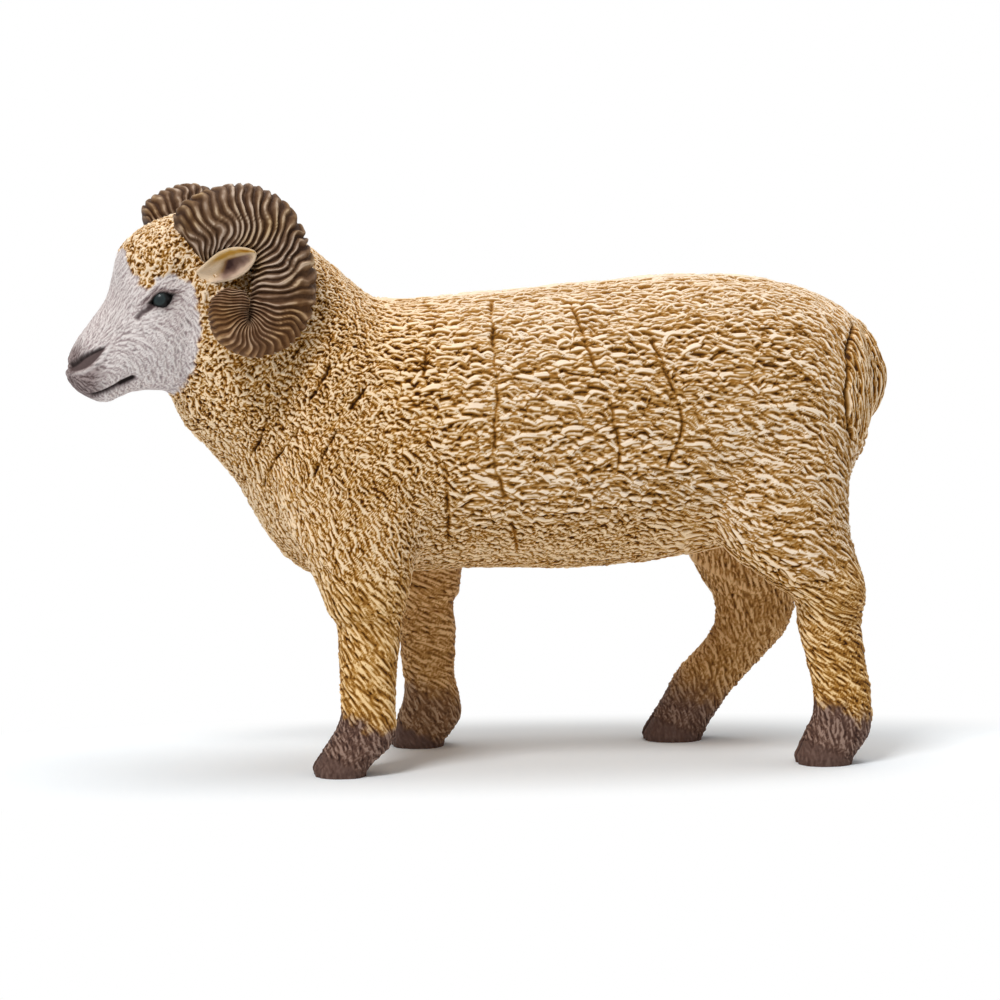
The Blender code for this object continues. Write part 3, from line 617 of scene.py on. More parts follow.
@dataclass
class Skin:
    """One skin over the glued mouldings, fine enough to carry the coat."""

    nodes: tuple[str, ...] = ("torso", "head", "tail", "leg_front_left", "leg_front_right",
                              "leg_rear_left", "leg_rear_right")
    voxel: float = 0.68
    swell: float = 0.20
    inset: float = 0.24
    levels: int = 2
    rounds: int = 6
    push: float = 0.5
    deepest: float = 0.6
    depth_rounds: int = 8
    lumps: tuple[Triple, ...] = ((7.0, 0.0, 0.16), (3.2, 9.0, 0.07))
    lump_ramp: Ramp = (16.0, 26.0)
    weld: float = 0.001
    island_angle: float = 60.0
    island_margin: float = 0.004
    cap_depth: float = 0.5
    cap_gap: float = 0.12
    co: np.ndarray = field(default=None, init=False)
    normal: np.ndarray = field(default=None, init=False)
    faces: np.ndarray = field(default=None, init=False)
    uv: np.ndarray = field(default=None, init=False)
    owner: np.ndarray = field(default=None, init=False)
    edges: np.ndarray = field(default=None, init=False)

    def make(self) -> None:
        """Draw the skin, sort its faces by moulding, unwrap and refine it."""
        coarse = self.wrapped()
        self.settle(coarse)
        self.sort_faces(coarse)
        self.unwrap(coarse)
        self.refine(coarse)

    def moulding(self, name: str, grow: float = 0.0) -> bmesh.types.BMesh:
        """Copy one moulding, with its seams welded.

        Args:
            name: the moulding's node.
            grow: how far it swells, in millimetres.

        Returns:
            The copy.
        """
        copy = bmesh.new()
        copy.from_mesh(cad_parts[name].data)
        bmesh.ops.remove_doubles(copy, verts=copy.verts, dist=self.weld * MM)
        bmesh.ops.recalc_face_normals(copy, faces=copy.faces)
        copy.normal_update()
        for vertex in copy.verts:
            vertex.co += vertex.normal * grow * MM
        return copy

    def trees(self) -> list[BVHTree]:
        """A search tree of each moulding."""
        return [BVHTree.FromBMesh(self.moulding(name)) for name in self.nodes]

    def wrapped(self) -> bpy.types.Object:
        """The mouldings joined under one coarse skin."""
        joined = bpy.data.meshes.new("wrapped")
        builder = bmesh.new()
        for name in self.nodes:
            copy = self.moulding(name, self.swell)
            part = bpy.data.meshes.new("part")
            copy.to_mesh(part)
            copy.free()
            builder.from_mesh(part)
            bpy.data.meshes.remove(part)
        builder.to_mesh(joined)
        builder.free()
        skin = linked("skin", joined)
        remesh = skin.modifiers.new("wrap", "REMESH")
        remesh.mode = "VOXEL"
        remesh.voxel_size = self.voxel * MM
        self.apply(skin)
        return skin

    def apply(self, target: bpy.types.Object) -> None:
        """Make an object's evaluated mesh its own.

        Args:
            target: the object, whose modifiers are used up.
        """
        graph = bpy.context.evaluated_depsgraph_get()
        mesh = bpy.data.meshes.new_from_object(target.evaluated_get(graph))
        target.modifiers.clear()
        target.data = mesh

    def settle(self, coarse: bpy.types.Object) -> None:
        """Round off the skin, bring it to its inset under the mouldings and add the fleece's lumps.

        Args:
            coarse: the coarse skin.
        """
        mesh = coarse.data
        co = read(mesh.vertices, "co", 3) / MM
        edges = read(mesh.edges, "vertices", 2, int)
        for _ in range(self.rounds):
            co += self.push * (neighbour_mean(co, edges) - co)
        write(mesh.vertices, "co", co * MM)
        mesh.update()
        normal = read(mesh.vertex_normals, "vector", 3)
        trees = self.trees()
        depth = np.zeros((len(co), 1))
        for index in range(len(co)):
            point = Vector(co[index] * MM)
            hits = [tree.find_nearest(point) for tree in trees]
            place, _, _, _ = min(hits, key=lambda hit: hit[3])
            depth[index] = (point - place).dot(Vector(normal[index])) / MM
        depth = np.clip(depth, -self.deepest, self.deepest)
        for _ in range(self.depth_rounds):
            depth = neighbour_mean(depth, edges)
        co -= normal * (depth + self.inset)
        lumps = sum(cloudiness(co, scale, shift) * size for scale, shift, size in self.lumps)
        co += normal * (lumps * ease(*self.lump_ramp, co[:, 2]))[:, None]
        write(mesh.vertices, "co", co * MM)
        mesh.update()

    def sort_faces(self, coarse: bpy.types.Object) -> None:
        """Store on each coarse face which moulding it lies on.

        Args:
            coarse: the coarse skin.
        """
        mesh = coarse.data
        trees = self.trees()
        owner = np.zeros(len(mesh.polygons), int)
        for face in mesh.polygons:
            centre = face.center + face.normal * self.inset * MM
            owner[face.index] = int(np.argmin([tree.find_nearest(centre)[3] for tree in trees]))
        self.tidy_islands(mesh, owner)
        kept = mesh.attributes.new("owner", "INT", "FACE")
        kept.data.foreach_set("value", owner.astype(np.int32))

    def tidy_islands(self, mesh: bpy.types.Mesh, owner: np.ndarray) -> None:
        """Give small stray patches of faces to the moulding around them.

        Args:
            mesh: the coarse skin's mesh.
            owner: each face's moulding, which is changed in place.
        """
        builder = bmesh.new()
        builder.from_mesh(mesh)
        builder.faces.ensure_lookup_table()
        patches = self.patches(builder, owner)
        largest: dict[int, list[int]] = {}
        for patch in patches:
            kind = owner[patch[0]]
            if len(patch) > len(largest.get(kind, ())):
                largest[kind] = patch
        for patch in sorted(patches, key=len):
            if patch is largest[owner[patch[0]]]:
                continue
            around = [owner[face.index] for index in patch for edge in builder.faces[index].edges
                      for face in edge.link_faces if owner[face.index] != owner[index]]
            if around:
                owner[patch] = np.bincount(around).argmax()
        builder.free()

    def patches(self, builder: bmesh.types.BMesh, owner: np.ndarray) -> list[list[int]]:
        """Find the patches of joined faces that belong to one moulding.

        Args:
            builder: the coarse skin.
            owner: each face's moulding.

        Returns:
            The faces of each patch.
        """
        seen = np.zeros(len(owner), bool)
        found = []
        for start in range(len(owner)):
            if seen[start]:
                continue
            patch, stack = [], [start]
            seen[start] = True
            while stack:
                index = stack.pop()
                patch.append(index)
                for edge in builder.faces[index].edges:
                    for face in edge.link_faces:
                        if not seen[face.index] and owner[face.index] == owner[start]:
                            seen[face.index] = True
                            stack.append(face.index)
            found.append(patch)
        return found

    def unwrap(self, coarse: bpy.types.Object) -> None:
        """Lay out each moulding's faces flat, in a square of its own.

        Args:
            coarse: the coarse skin.
        """
        coarse.data.uv_layers.new(name=UV_LAYER)
        bpy.context.view_layer.objects.active = coarse
        coarse.select_set(True)
        for index in range(len(self.nodes)):
            mesh = coarse.data
            owner = read(mesh.attributes["owner"].data, "value", 1, int)
            mesh.polygons.foreach_set("select", owner == index)
            bpy.ops.object.mode_set(mode="EDIT")
            bpy.ops.mesh.select_mode(type="FACE")
            bpy.ops.uv.smart_project(angle_limit=math.radians(self.island_angle),
                                     island_margin=self.island_margin)
            bpy.ops.object.mode_set(mode="OBJECT")

    def refine(self, coarse: bpy.types.Object) -> None:
        """Subdivide the skin and read it into arrays.

        Args:
            coarse: the coarse skin, which is removed.
        """
        finer = coarse.modifiers.new("refine", "SUBSURF")
        finer.levels = self.levels
        finer.uv_smooth = "NONE"
        self.apply(coarse)
        mesh = coarse.data
        self.co = read(mesh.vertices, "co", 3) / MM
        self.normal = read(mesh.vertex_normals, "vector", 3)
        self.faces = read(mesh.loops, "vertex_index", 1, int).reshape(-1, 4)
        self.uv = read(mesh.uv_layers[UV_LAYER].data, "uv", 2)
        self.owner = read(mesh.attributes["owner"].data, "value", 1, int)
        self.edges = read(mesh.edges, "vertices", 2, int)
        bpy.data.objects.remove(coarse)

    def piece(self, name: str, node: str, values: dict[str, np.ndarray],
              normals: np.ndarray) -> bpy.types.Object:
        """Part one moulding's share of the skin from the rest and close it.

        Args:
            name: the new piece's name.
            node: the moulding whose faces it takes.
            values: what to store on its points, by name.
            normals: the whole skin's normals, so that no seam shows.

        Returns:
            The closed piece.
        """
        chosen = np.flatnonzero(self.owner == self.nodes.index(node))
        faces = self.faces[chosen]
        used, local = np.unique(faces, return_inverse=True)
        local = local.reshape(-1, 4)
        caps, extra, borrowed = self.caps(local, used, normals)
        vertices = np.vstack([self.co[used], extra]) * MM
        mesh = bpy.data.meshes.new(name)
        mesh.from_pydata(vertices.tolist(), [], local.tolist() + caps)
        uv = np.zeros((len(mesh.loops), 2))
        loops = (chosen[:, None] * 4 + np.arange(4)).ravel()
        uv[:len(loops)] = self.uv[loops]
        write(mesh.uv_layers.new(name=UV_LAYER).data, "uv", uv)
        source = np.concatenate([used, borrowed])
        store(mesh, {label: value[source] for label, value in values.items()})
        smooth(mesh)
        mesh.normals_split_custom_set_from_vertices(normals[source].tolist())
        return linked(name, mesh)

    def caps(self, local: np.ndarray, used: np.ndarray,
             normals: np.ndarray) -> tuple[list[list[int]], np.ndarray, np.ndarray]:
        """Close the rims of a part of the skin with caps sunk under it.

        Args:
            local: the part's faces in its own vertex numbers.
            used: the whole skin's number of each of its vertices.
            normals: the whole skin's normals.

        Returns:
            The cap faces, the vertices that they add, and the skin vertex that each copies.
        """
        sides = np.vstack([local[:, [0, 1]], local[:, [1, 2]], local[:, [2, 3]], local[:, [3, 0]]])
        size = len(used)
        forward = sides[:, 0] * size + sides[:, 1]
        backward = sides[:, 1] * size + sides[:, 0]
        rim = sides[~np.isin(forward, backward)]
        after: dict[int, list[int]] = {}
        for start, end in rim:
            after.setdefault(int(start), []).append(int(end))
        middle = self.co[used].mean(0)
        faces, points, borrowed = [], [], []
        while after:
            start = next(iter(after))
            loop = [start]
            while True:
                following = after[loop[-1]].pop()
                if not after[loop[-1]]:
                    del after[loop[-1]]
                if following == start:
                    break
                loop.append(following)
            ring = self.co[used[loop]]
            centre = ring.mean(0)
            inward = middle - centre
            inward /= np.linalg.norm(inward)
            base = size + len(points)
            sunk = ring - normals[used[loop]] * self.cap_depth + inward * self.cap_gap
            points.extend(sunk)
            points.append(sunk.mean(0))
            borrowed.extend(used[loop])
            borrowed.append(used[loop[0]])
            count = len(loop)
            for index in range(count):
                following = (index + 1) % count
                faces.append([loop[following], loop[index], base + index, base + following])
                faces.append([base + following, base + index, base + count])
        return faces, np.array(points).reshape(-1, 3), np.array(borrowed, int)


def read(items: bpy.types.bpy_prop_collection, name: str, width: int, kind: type = float) -> np.ndarray:
    """Read one property of many items.

    Args:
        items: the items.
        name: the property.
        width: how many numbers it holds.
        kind: float or int.

    Returns:
        One number an item, or one row where the width is over 1.
    """
    values = np.zeros(len(items) * width, np.int32 if kind is int else np.float32)
    items.foreach_get(name, values)
    values = values.astype(kind)
    return values.reshape(-1, width) if width > 1 else values


def write(items: bpy.types.bpy_prop_collection, name: str, values: np.ndarray) -> None:
    """Write an array into one property of many items."""
    items.foreach_set(name, values.astype(np.float32).ravel())


def store(mesh: bpy.types.Mesh, values: dict[str, np.ndarray]) -> None:
    """Store values on a mesh's points, for the paint to read."""
    for name, value in values.items():
        write(mesh.attributes.new(name, "FLOAT", "POINT").data, "value", value)


def smooth(mesh: bpy.types.Mesh) -> None:
    """Shade a mesh smooth."""
    mesh.polygons.foreach_set("use_smooth", np.ones(len(mesh.polygons), bool))
    mesh.update()


def linked(name: str, data: bpy.types.ID) -> bpy.types.Object:
    """Place data in the scene.

    Args:
        name: the object's name.
        data: its mesh, lamp or camera.

    Returns:
        The object.
    """
    made = bpy.data.objects.new(name, data)
    bpy.context.scene.collection.objects.link(made)
    return made


def neighbour_mean(values: np.ndarray, edges: np.ndarray) -> np.ndarray:
    """Average over each vertex's neighbours.

    Args:
        values: one row a vertex.
        edges: the two vertices of each edge.

    Returns:
        The mean row of each vertex's neighbours.
    """
    count = len(values)
    degree = np.bincount(edges.ravel(), minlength=count)
    total = np.empty_like(values)
    for column in range(values.shape[1]):
        one = values[:, column]
        total[:, column] = (np.bincount(edges[:, 0], one[edges[:, 1]], count)
                            + np.bincount(edges[:, 1], one[edges[:, 0]], count))
    return total / np.maximum(degree, 1)[:, None]


def toward(values: np.ndarray, target: np.ndarray | float, share: np.ndarray | float) -> np.ndarray:
    """Values drawn toward a target by a share."""
    return values + (target - values) * share


@dataclass(frozen=True)
class Press:
    """How a line is pressed into the coat, or raised where the depth is below 0.

    The radius is the half width at which it has mostly died out, and the tone is the paint's at
    its bottom. Flatten is the share of the locks that it presses flat, pit the share of near-black
    paint in it, and gaps how much it fades along the way, in radii.
    """

    radius: float
    depth: float
    tone: float
    flatten: float
    pit: float = 0.0
    gaps: float = 0.0


@dataclass
class Coat:
    """The wool and hair laid on the skin, lock by lock.

    A ramp is the start and the end of a soft step. Clouds are a noise's size and shift, an unrest is
    how much coarse and fine noise moves an edge, and a spread is its share, least and most.
    """

    skin: Skin
    places: Places
    seed: int = 7
    # The finished coat: its tones, painted light that makes the upward-facing tops paler, the seam round
    # the tail, and how it is evened out
    bare_tone: float = 0.30
    top_brush: float = 0.15
    top_ramp: Ramp = (0.35, 0.95)
    face_calm: float = 0.13
    fine_contrast: float = 0.30
    fine_pivot: float = 0.58
    seam_share: float = 0.7
    seam_width: float = 0.26
    seam_depth: float = 0.45
    seam_wash: float = 0.45
    hair_ease: float = 0.45
    coat_ease: float = 0.35
    sole_height: float = 0.35
    # One lock: its spread, its section from the lower side to the upper, with a tone that is partly
    # painted shade toward the lower side, and the painted shadow under it
    spacing: float = 1.75
    filler: Pair = (0.6, 0.66)
    filler_below: float = 0.12
    length_spread: Triple = (0.24, 0.6, 1.6)
    width_spread: Triple = (0.14, 0.75, 1.35)
    height_spread: Triple = (0.16, 0.7, 1.3)
    arch_spread: float = 0.40
    same_way: float = 0.1
    waver: tuple[float, float, float, float] = (0.10, 3.0, 4.5, 5.0)
    taper: float = 0.28
    covered_length: float = 0.9
    lowest_side: float = -0.8
    middle_tone: float = 0.40
    low_tone: float = 0.35
    profile: tuple[Triple, ...] = (
        (-1.5, 0.00, 0.30), (-0.80, 0.02, 0.05), (-0.60, 0.45, 0.20), (-0.30, 0.80, 0.45),
        (0.0, 0.97, 0.85), (0.40, 1.00, 1.00), (0.80, 0.62, 0.82), (1.15, 0.0, 0.45))
    undercut: Line = ((-1.55, 0.0), (-1.1, 1.0), (-0.8, 0.9), (-0.62, 0.0))
    undercut_depth: Pair = (0.55, 0.12)
    undercut_wash: float = 0.85
    # Where the fleece ends over the legs
    wander: Pair = (2.6, 3.0)
    ragged: Pair = (0.9, 6.0)
    forehand: Ramp = (9.0, 3.0)
    inward: Ramp = (0.15, -0.25)
    hem_split: float = 15.0
    fore_hem: float = 25.5
    hind_hem: float = 21.6
    hem_rise: float = 0.6
    hem_from: float = 38.5
    hem_span: Ramp = (-3.0, 12.0)
    hem_soft: float = 3.2
    hem_unrest: Pair = (1.4, 0.8)
    inner_ramp: Ramp = (32.5, 27.5)
    # Where the woolly cap and the bare face meet
    crown_back: Ramp = (-7.0, -10.5)
    crown_low: Ramp = (42.5, 45.5)
    chin: Ramp = (42.0, 43.5)
    face_soft: float = 0.25
    skin_soft: float = 0.35
    face_unrest: Pair = (0.45, 0.5)
    face_edge: Line = (
        (40.0, -11.0), (44.4, -11.9), (48.2, -13.1), (52.0, -12.2), (55.8, -11.8), (60.8, -12.6),
        (66.0, -12.8))
    brow_soft: float = 0.3
    brow_front: Ramp = (-15.0, -17.0)
    brow_shift: float = 0.6
    brow_unrest: Pair = (0.35, 0.6)
    brow_line: Line = (
        (-30.0, 61.8), (-18.6, 61.9), (-18.2, 62.1), (-17.4, 62.9), (-16.4, 63.8), (-14.6, 64.2),
        (-12.8, 62.7), (-12.0, 61.0))
    brow_width: Line = (
        (61.0, 6.9), (62.1, 6.4), (63.5, 5.3), (64.5, 4.3), (66.0, 3.2), (66.8, 1.8), (67.4, -0.4),
        (70.0, -3.0))
    forehead: Pair = (-12.4, 71.6)
    bridge_slope: float = 55.0
    bridge_ramp: Ramp = (2.5, 8.0)
    forehead_lean: float = -36.0
    cheek_turn: float = 96.0
    lean_drift: float = 9.0
    drift: Pair = (6.0, 15.0)
    # The tail and its root
    tail_rounds: int = 4
    tail_edge: Line = (
        (42.5, 47.2), (45.1, 46.4), (47.6, 46.2), (51.5, 46.5), (54.6, 47.1), (55.7, 47.7),
        (56.8, 48.8), (58.0, 50.5))
    tail_front: Ramp = (-0.2, 0.4)
    tail_low: Ramp = (41.5, 43.0)
    tail_top: Ramp = (57.6, 56.6)
    # Each leg's dark pastern: its height, strength and softness, then the bare claws. The far front leg's
    # pastern is weaker and softer as painted light, paler on a hoof that stands in the body's shade
    pasterns: tuple[tuple[str, float, float, float], ...] = (
        ("leg_front_left", 7.6, 1.0, 1.0), ("leg_front_right", 8.4, 0.66, 1.4),
        ("leg_rear_left", 7.9, 1.0, 1.0), ("leg_rear_right", 7.8, 0.95, 2.6))
    pastern_ramp: Ramp = (1.5, -1.1)
    pastern_unrest: Pair = (0.9, 1.3)
    hoof_slope: float = 0.35
    hoof_bottom: float = 1.0
    claw_z: float = 2.0
    claw_soft: float = 0.6
    claw_slope: float = 0.40
    claw_flatness: float = 0.55
    # The shares of the paints
    hair_ramp: Ramp = (27.0, 13.0)
    hair_unrest: float = 2.6
    leg_hair: float = 0.8
    under_belly: float = 0.12
    under_leg: float = 0.85
    gold_ramp: Ramp = (4.0, -14.0)
    gold_neck: Ramp = (62.0, 55.0)
    gold_shares: Pair = (0.55, 0.45)
    gold_forepart: float = 0.85
    gold_tail: float = 0.6
    contrast_ramp: Ramp = (0.0, -12.0)
    contrast_leg: float = 0.9
    # The way that the locks run, and the parting along the back
    level_ramp: Ramp = (0.25, 0.6)
    parting: float = 2.4
    parting_pull: float = 0.4
    parting_clouds: Pair = (3.4, 41.0)
    # Lines pressed in, as shares of their radius
    line_step: float = 0.4
    line_reach: float = 2.4
    gap_clouds: Pair = (1.9, 31.0)
    gap_share: Pair = (0.3, 1.6)
    pit_ramp: Ramp = (0.12, 0.8)

    def lay(self) -> None:
        """Lay the whole coat, as a height and a tone at each point."""
        self.rng = np.random.default_rng(self.seed)
        self.co = self.skin.co
        self.normal = self.skin.normal
        self.zone()
        self.flow()
        count = len(self.co)
        self.height = np.zeros(count)
        self.tone = np.full(count, self.bare_tone)
        self.across = np.zeros(count)
        self.tree = kdtree.KDTree(count)
        for index, place in enumerate(self.co):
            self.tree.insert(place, index)
        self.tree.balance()
        laid = self.locks(1.0, 1.0, np.zeros(count, bool))
        filled = self.locks(*self.filler, self.height > self.filler_below * self.cut[:, 2])
        log.info("coat: %d locks and %d fillers on %d points", laid, filled, count)
        self.level_tones()
        # Painted light: wool that faces upward is paler, as if lit from above.
        self.tone += self.top_brush * ease(*self.top_ramp, self.normal[:, 2]) * (1 - self.share["skin"])
        seam = self.seam_share * bell(0.5, self.seam_width, self.on_tail)
        self.height -= self.seam_depth * seam
        self.tone -= self.seam_wash * seam

    def level_tones(self) -> None:
        """Spread the tones evenly, in the wool, the hair and the face apart."""
        shares = np.linspace(0.0, 1.0, 101)
        face = self.face > 0.5
        hair = (self.share["hair"] > 0.5) & ~face
        for chosen in (face, hair, ~face & ~hair):
            steps = np.quantile(self.tone[chosen], shares) + shares * 1e-6
            self.tone[chosen] = np.interp(self.tone[chosen], steps, shares)
        self.tone += self.face_calm * self.face * (1 - self.tone)
        self.tone += self.fine_contrast * self.fine * (self.tone - self.fine_pivot)

    def zone(self) -> None:
        """Settle at each point the share of each zone, of each paint and the cut of the locks."""
        ram, head = self.places.to_ram(self.co), self.places.to_head(self.co)
        x, z = ram[:, 0], ram[:, 2]
        wander = cloudiness(self.co, *self.wander)
        ragged = cloudiness(self.co, *self.ragged)
        measures = {"x": x, "z": z, "up": self.normal[:, 2]}
        masks = {Zone.BARREL: np.ones(len(x))}
        for zone, reaches in REACHES.items():
            masks[zone] = np.prod([ease(start, full, measures[name]) for name, start, full in reaches], 0)
        masks[Zone.TAIL] = np.maximum(self.tail_moulding(), self.tail_root(x, z))
        hem = np.where(x > self.hem_split,
                       self.hind_hem + self.hem_rise * np.clip(x - self.hem_from, *self.hem_span),
                       self.fore_hem)
        coarse, fine = self.hem_unrest
        leg = ease(self.hem_soft, -self.hem_soft, z - hem + coarse * wander + fine * ragged)
        inner_leg = (ease(*self.inward, np.sign(ram[:, 1]) * self.normal[:, 1])
                     * ease(*self.inner_ramp, z + 1.0 * wander))
        fore = ease(*self.forehand, x)
        masks[Zone.FORELEG], masks[Zone.HIND_LEG] = leg * fore, leg * (1 - fore)
        masks[Zone.INNER_FORELEG] = inner_leg * fore
        masks[Zone.INNER_HIND_LEG] = inner_leg * (1 - fore)
        masks[Zone.CROWN] = ease(*self.crown_back, head[:, 0]) * ease(*self.crown_low, head[:, 2])
        masks[Zone.FACE], skin = self.face_shares(head, wander, ragged)
        masks[Zone.HOOF], claw = self.hooves(wander, ragged)
        self.face, self.tail = masks[Zone.FACE], masks[Zone.TAIL]
        self.cut = np.zeros((len(x), len(astuple(CUTS[Zone.BARREL]))))
        for zone, mask in masks.items():
            self.cut = toward(self.cut, np.array(astuple(CUTS[zone])), mask[:, None])
        self.cut[:, 2] *= 1.0 - self.claw_flatness * claw
        self.cut[:, 4] = toward(self.cut[:, 4], self.face_lean(head), self.face)
        self.cut[:, 4] += self.lean_drift * cloudiness(self.co, *self.drift)
        hair = np.max((ease(*self.hair_ramp, z + self.hair_unrest * wander), inner_leg,
                       self.leg_hair * leg), axis=0)
        low, more = self.gold_shares
        forepart = ease(*self.gold_ramp, x) * (low + more * ease(*self.gold_neck, z))
        gold = np.max((self.gold_forepart * forepart, masks[Zone.BELLY], self.gold_tail * self.tail),
                      axis=0)
        # Browner paint under the belly and on the legs' inner sides, which face the middle: partly their
        # own colour, partly painted shade.
        under = self.under_belly * masks[Zone.BELLY] * (1 - leg) + self.under_leg * inner_leg
        self.share = {"under": np.clip(under, 0, 1), "gold": gold, "hair": hair, "hoof": masks[Zone.HOOF],
                      "claw": claw, "pit": np.zeros(len(x)), "skin": skin}
        contrasty = (ease(*self.contrast_ramp, x), masks[Zone.BELLY], self.tail,
                     self.contrast_leg * leg * (1 - inner_leg))
        self.fine = np.max(contrasty, axis=0) * (1 - self.face)

    def tail_moulding(self) -> np.ndarray:
        """Each point's share of the tail's own moulding, soft over its seam."""
        on_tail = np.zeros((len(self.co), 1))
        on_tail[np.unique(self.skin.faces[self.skin.owner == self.skin.nodes.index("tail")])] = 1.0
        for _ in range(self.tail_rounds):
            on_tail = neighbour_mean(on_tail, self.skin.edges)
        self.on_tail = on_tail[:, 0]
        return self.on_tail

    def tail_root(self, x: np.ndarray, z: np.ndarray) -> np.ndarray:
        """Each point's share of the rump that is cut like the tail."""
        behind = ease(*self.tail_front, x - height_of(self.tail_edge, z))
        return behind * ease(*self.tail_low, z) * ease(*self.tail_top, z)

    def face_shares(self, head: np.ndarray, wander: np.ndarray,
                    ragged: np.ndarray) -> tuple[np.ndarray, np.ndarray]:
        """Part the bare face from the woolly cap and cheeks.

        Args:
            head: the points as seen from the turned head.
            wander: coarse noise at each point.
            ragged: fine noise at each point.

        Returns:
            Each point's share of face hair and of the face's paint.
        """
        along, high = head[:, 0], head[:, 2]
        coarse, fine = self.face_unrest
        edge = height_of(self.face_edge, high) + coarse * wander + fine * ragged
        coarse, fine = self.brow_unrest
        line = height_of(self.brow_line, along) + coarse * wander + fine * ragged
        half = height_of(self.brow_width, high) + coarse * wander + fine * ragged
        below = ease(self.brow_soft, -self.brow_soft, high - line)
        between = ease(self.brow_soft, -self.brow_soft, np.abs(head[:, 1] - self.brow_shift) - half)
        bare = np.maximum(below, between * ease(*self.brow_front, along))
        hair, paint = (ease(soft, -soft, along - edge) for soft in (self.face_soft, self.skin_soft))
        chin = ease(*self.chin, high)
        return hair * chin * bare, paint * bare * chin

    def face_lean(self, head: np.ndarray) -> np.ndarray:
        """Lean the face's hair, forward on the forehead and down on the cheeks.

        Args:
            head: the points as seen from the turned head.

        Returns:
            The lean at each point in degrees.
        """
        forward = (head[:, 0] - self.forehead[0]) * math.cos(math.radians(self.bridge_slope))
        down = (self.forehead[1] - head[:, 2]) * math.sin(math.radians(90.0 - self.bridge_slope))
        return self.forehead_lean + self.cheek_turn * ease(*self.bridge_ramp, forward + down)

    def hooves(self, wander: np.ndarray, ragged: np.ndarray) -> tuple[np.ndarray, np.ndarray]:
        """Find the dark pasterns, lower behind than in front, and the bare claws under them.

        Args:
            wander: coarse noise at each point.
            ragged: fine noise at each point.

        Returns:
            Each point's share of dark pastern and of bare claw.
        """
        hoof, claw = np.zeros(len(self.co)), np.zeros(len(self.co))
        coarse, fine = self.pastern_unrest
        start, full = self.pastern_ramp
        self.soles = {}
        for name, pastern, strength, soft in self.pasterns:
            mine = np.unique(self.skin.faces[self.skin.owner == self.skin.nodes.index(name)])
            sole = self.co[mine[self.co[mine, 2] < self.hoof_bottom]].mean(0)
            self.soles[name] = sole
            x, z = self.co[mine, 0] - sole[0], self.co[mine, 2]
            edge = pastern - self.hoof_slope * x + coarse * wander[mine] + fine * ragged[mine]
            hoof[mine] = strength * ease(start * soft, full * soft, z - edge)
            claw[mine] = ease(self.claw_soft, -self.claw_soft,
                              z - self.claw_z + self.claw_slope * x + self.claw_soft * ragged[mine])
        return hoof, claw

    def flow(self) -> None:
        """Settle at each point the level line along the coat and the way up across it."""
        normal = self.normal
        back = self.places.turn() @ np.array([1.0, 0.0, 0.0])
        headed = self.face[:, None]
        axis = unit((1 - headed) * np.array([1.0, 0.0, 0.0]) + headed * back)
        level = axis - (axis * normal).sum(1, keepdims=True) * normal
        length = np.linalg.norm(level, axis=1, keepdims=True)
        round_it = np.cross(np.array([0.0, 0.0, 1.0]), normal)
        turned = np.sign((round_it * axis).sum(1, keepdims=True))
        turned[turned == 0] = 1.0
        share = (ease(*self.level_ramp, length[:, 0]) * (1 - self.tail))[:, None]
        self.level = unit(level / np.maximum(length, 1e-6) * share
                          + unit(round_it) * turned * (1 - share))
        rise = np.cross(normal, self.level)
        spine = np.zeros_like(normal)
        beside = self.co[:, 1] + self.parting * cloudiness(self.co, *self.parting_clouds)
        spine[:, 1] = -np.sign(beside) * self.parting_pull
        spine[:, 2] = 1.0
        self.rise = rise * np.sign((rise * spine).sum(1, keepdims=True) + 1e-9)

    def locks(self, size: float, rise: float, covered: np.ndarray) -> int:
        """Lay locks on every place that none covers yet.

        Args:
            size: share of the zone's lock length and width.
            rise: share of the zone's lock height.
            covered: the points that need no lock.

        Returns:
            How many locks were laid.
        """
        laid = 0
        sides, heights, tones = np.array(self.profile).T
        under_sides, under_shares = np.array(self.undercut).T
        sway, sway_seed, sway_rate, sway_shift = self.waver
        keep, extra = self.undercut_depth
        for seed in self.rng.permutation(len(self.co)):
            if covered[seed]:
                continue
            length, width, height, arch, lean, scatter = self.cut[seed]
            chance = self.rng.normal(size=5)
            length *= size * varied(chance[0], *self.length_spread)
            half = 0.5 * width * (size + 1.0) / 2 * varied(chance[1], *self.width_spread)
            height *= rise * varied(chance[2], *self.height_spread)
            arch *= size * (1.0 + self.arch_spread * chance[3])
            angle = math.radians(lean + scatter * float(np.clip(chance[4], -2, 2)))
            along = math.cos(angle) * self.level[seed] - math.sin(angle) * self.rise[seed]
            over = math.sin(angle) * self.level[seed] + math.cos(angle) * self.rise[seed]
            reach = math.hypot(length / 2, abs(arch) + self.spacing * half)
            near = np.array([hit[1] for hit in self.tree.find_range(self.co[seed], reach)])
            near = near[self.normal[near] @ self.normal[seed] > self.same_way]
            offset = self.co[near] - self.co[seed]
            u = offset @ along / (length / 2)
            bend = sway * math.sin(sway_seed * chance[0]) * np.sin(sway_rate * u + sway_shift * chance[1])
            v = (offset @ over + arch * u * u + bend) / (half * (1.0 - self.taper * u * u))
            covered[near[(np.abs(u) < self.covered_length) & (np.abs(v) < self.spacing)]] = True
            end = np.sqrt(np.clip(1 - u ** 4, 0, 1))
            raised = height * end * np.interp(v, sides, heights, 0.0, 0.0)
            wins = (raised > self.height[near]) & (v > self.lowest_side)
            won = near[wins]
            self.height[won] = raised[wins]
            bright = np.interp(v, sides, tones)[wins]
            self.tone[won] = ((self.middle_tone + (bright - self.middle_tone) * end[wins])
                              * (self.low_tone + (1.0 - self.low_tone) * rise))
            self.across[won] = v[wins]
            # Painted shadow under the lock: its tone is darkened where the coat below it is pressed in.
            shade = end * np.interp(v, under_sides, under_shares, 0.0, 0.0) * rise
            shaded = shade > 0.02
            below, shade = near[shaded], shade[shaded]
            self.height[below] -= shade * (keep * self.height[below] + extra * height)
            self.tone[below] *= 1.0 - self.undercut_wash * shade
            laid += 1
        return laid

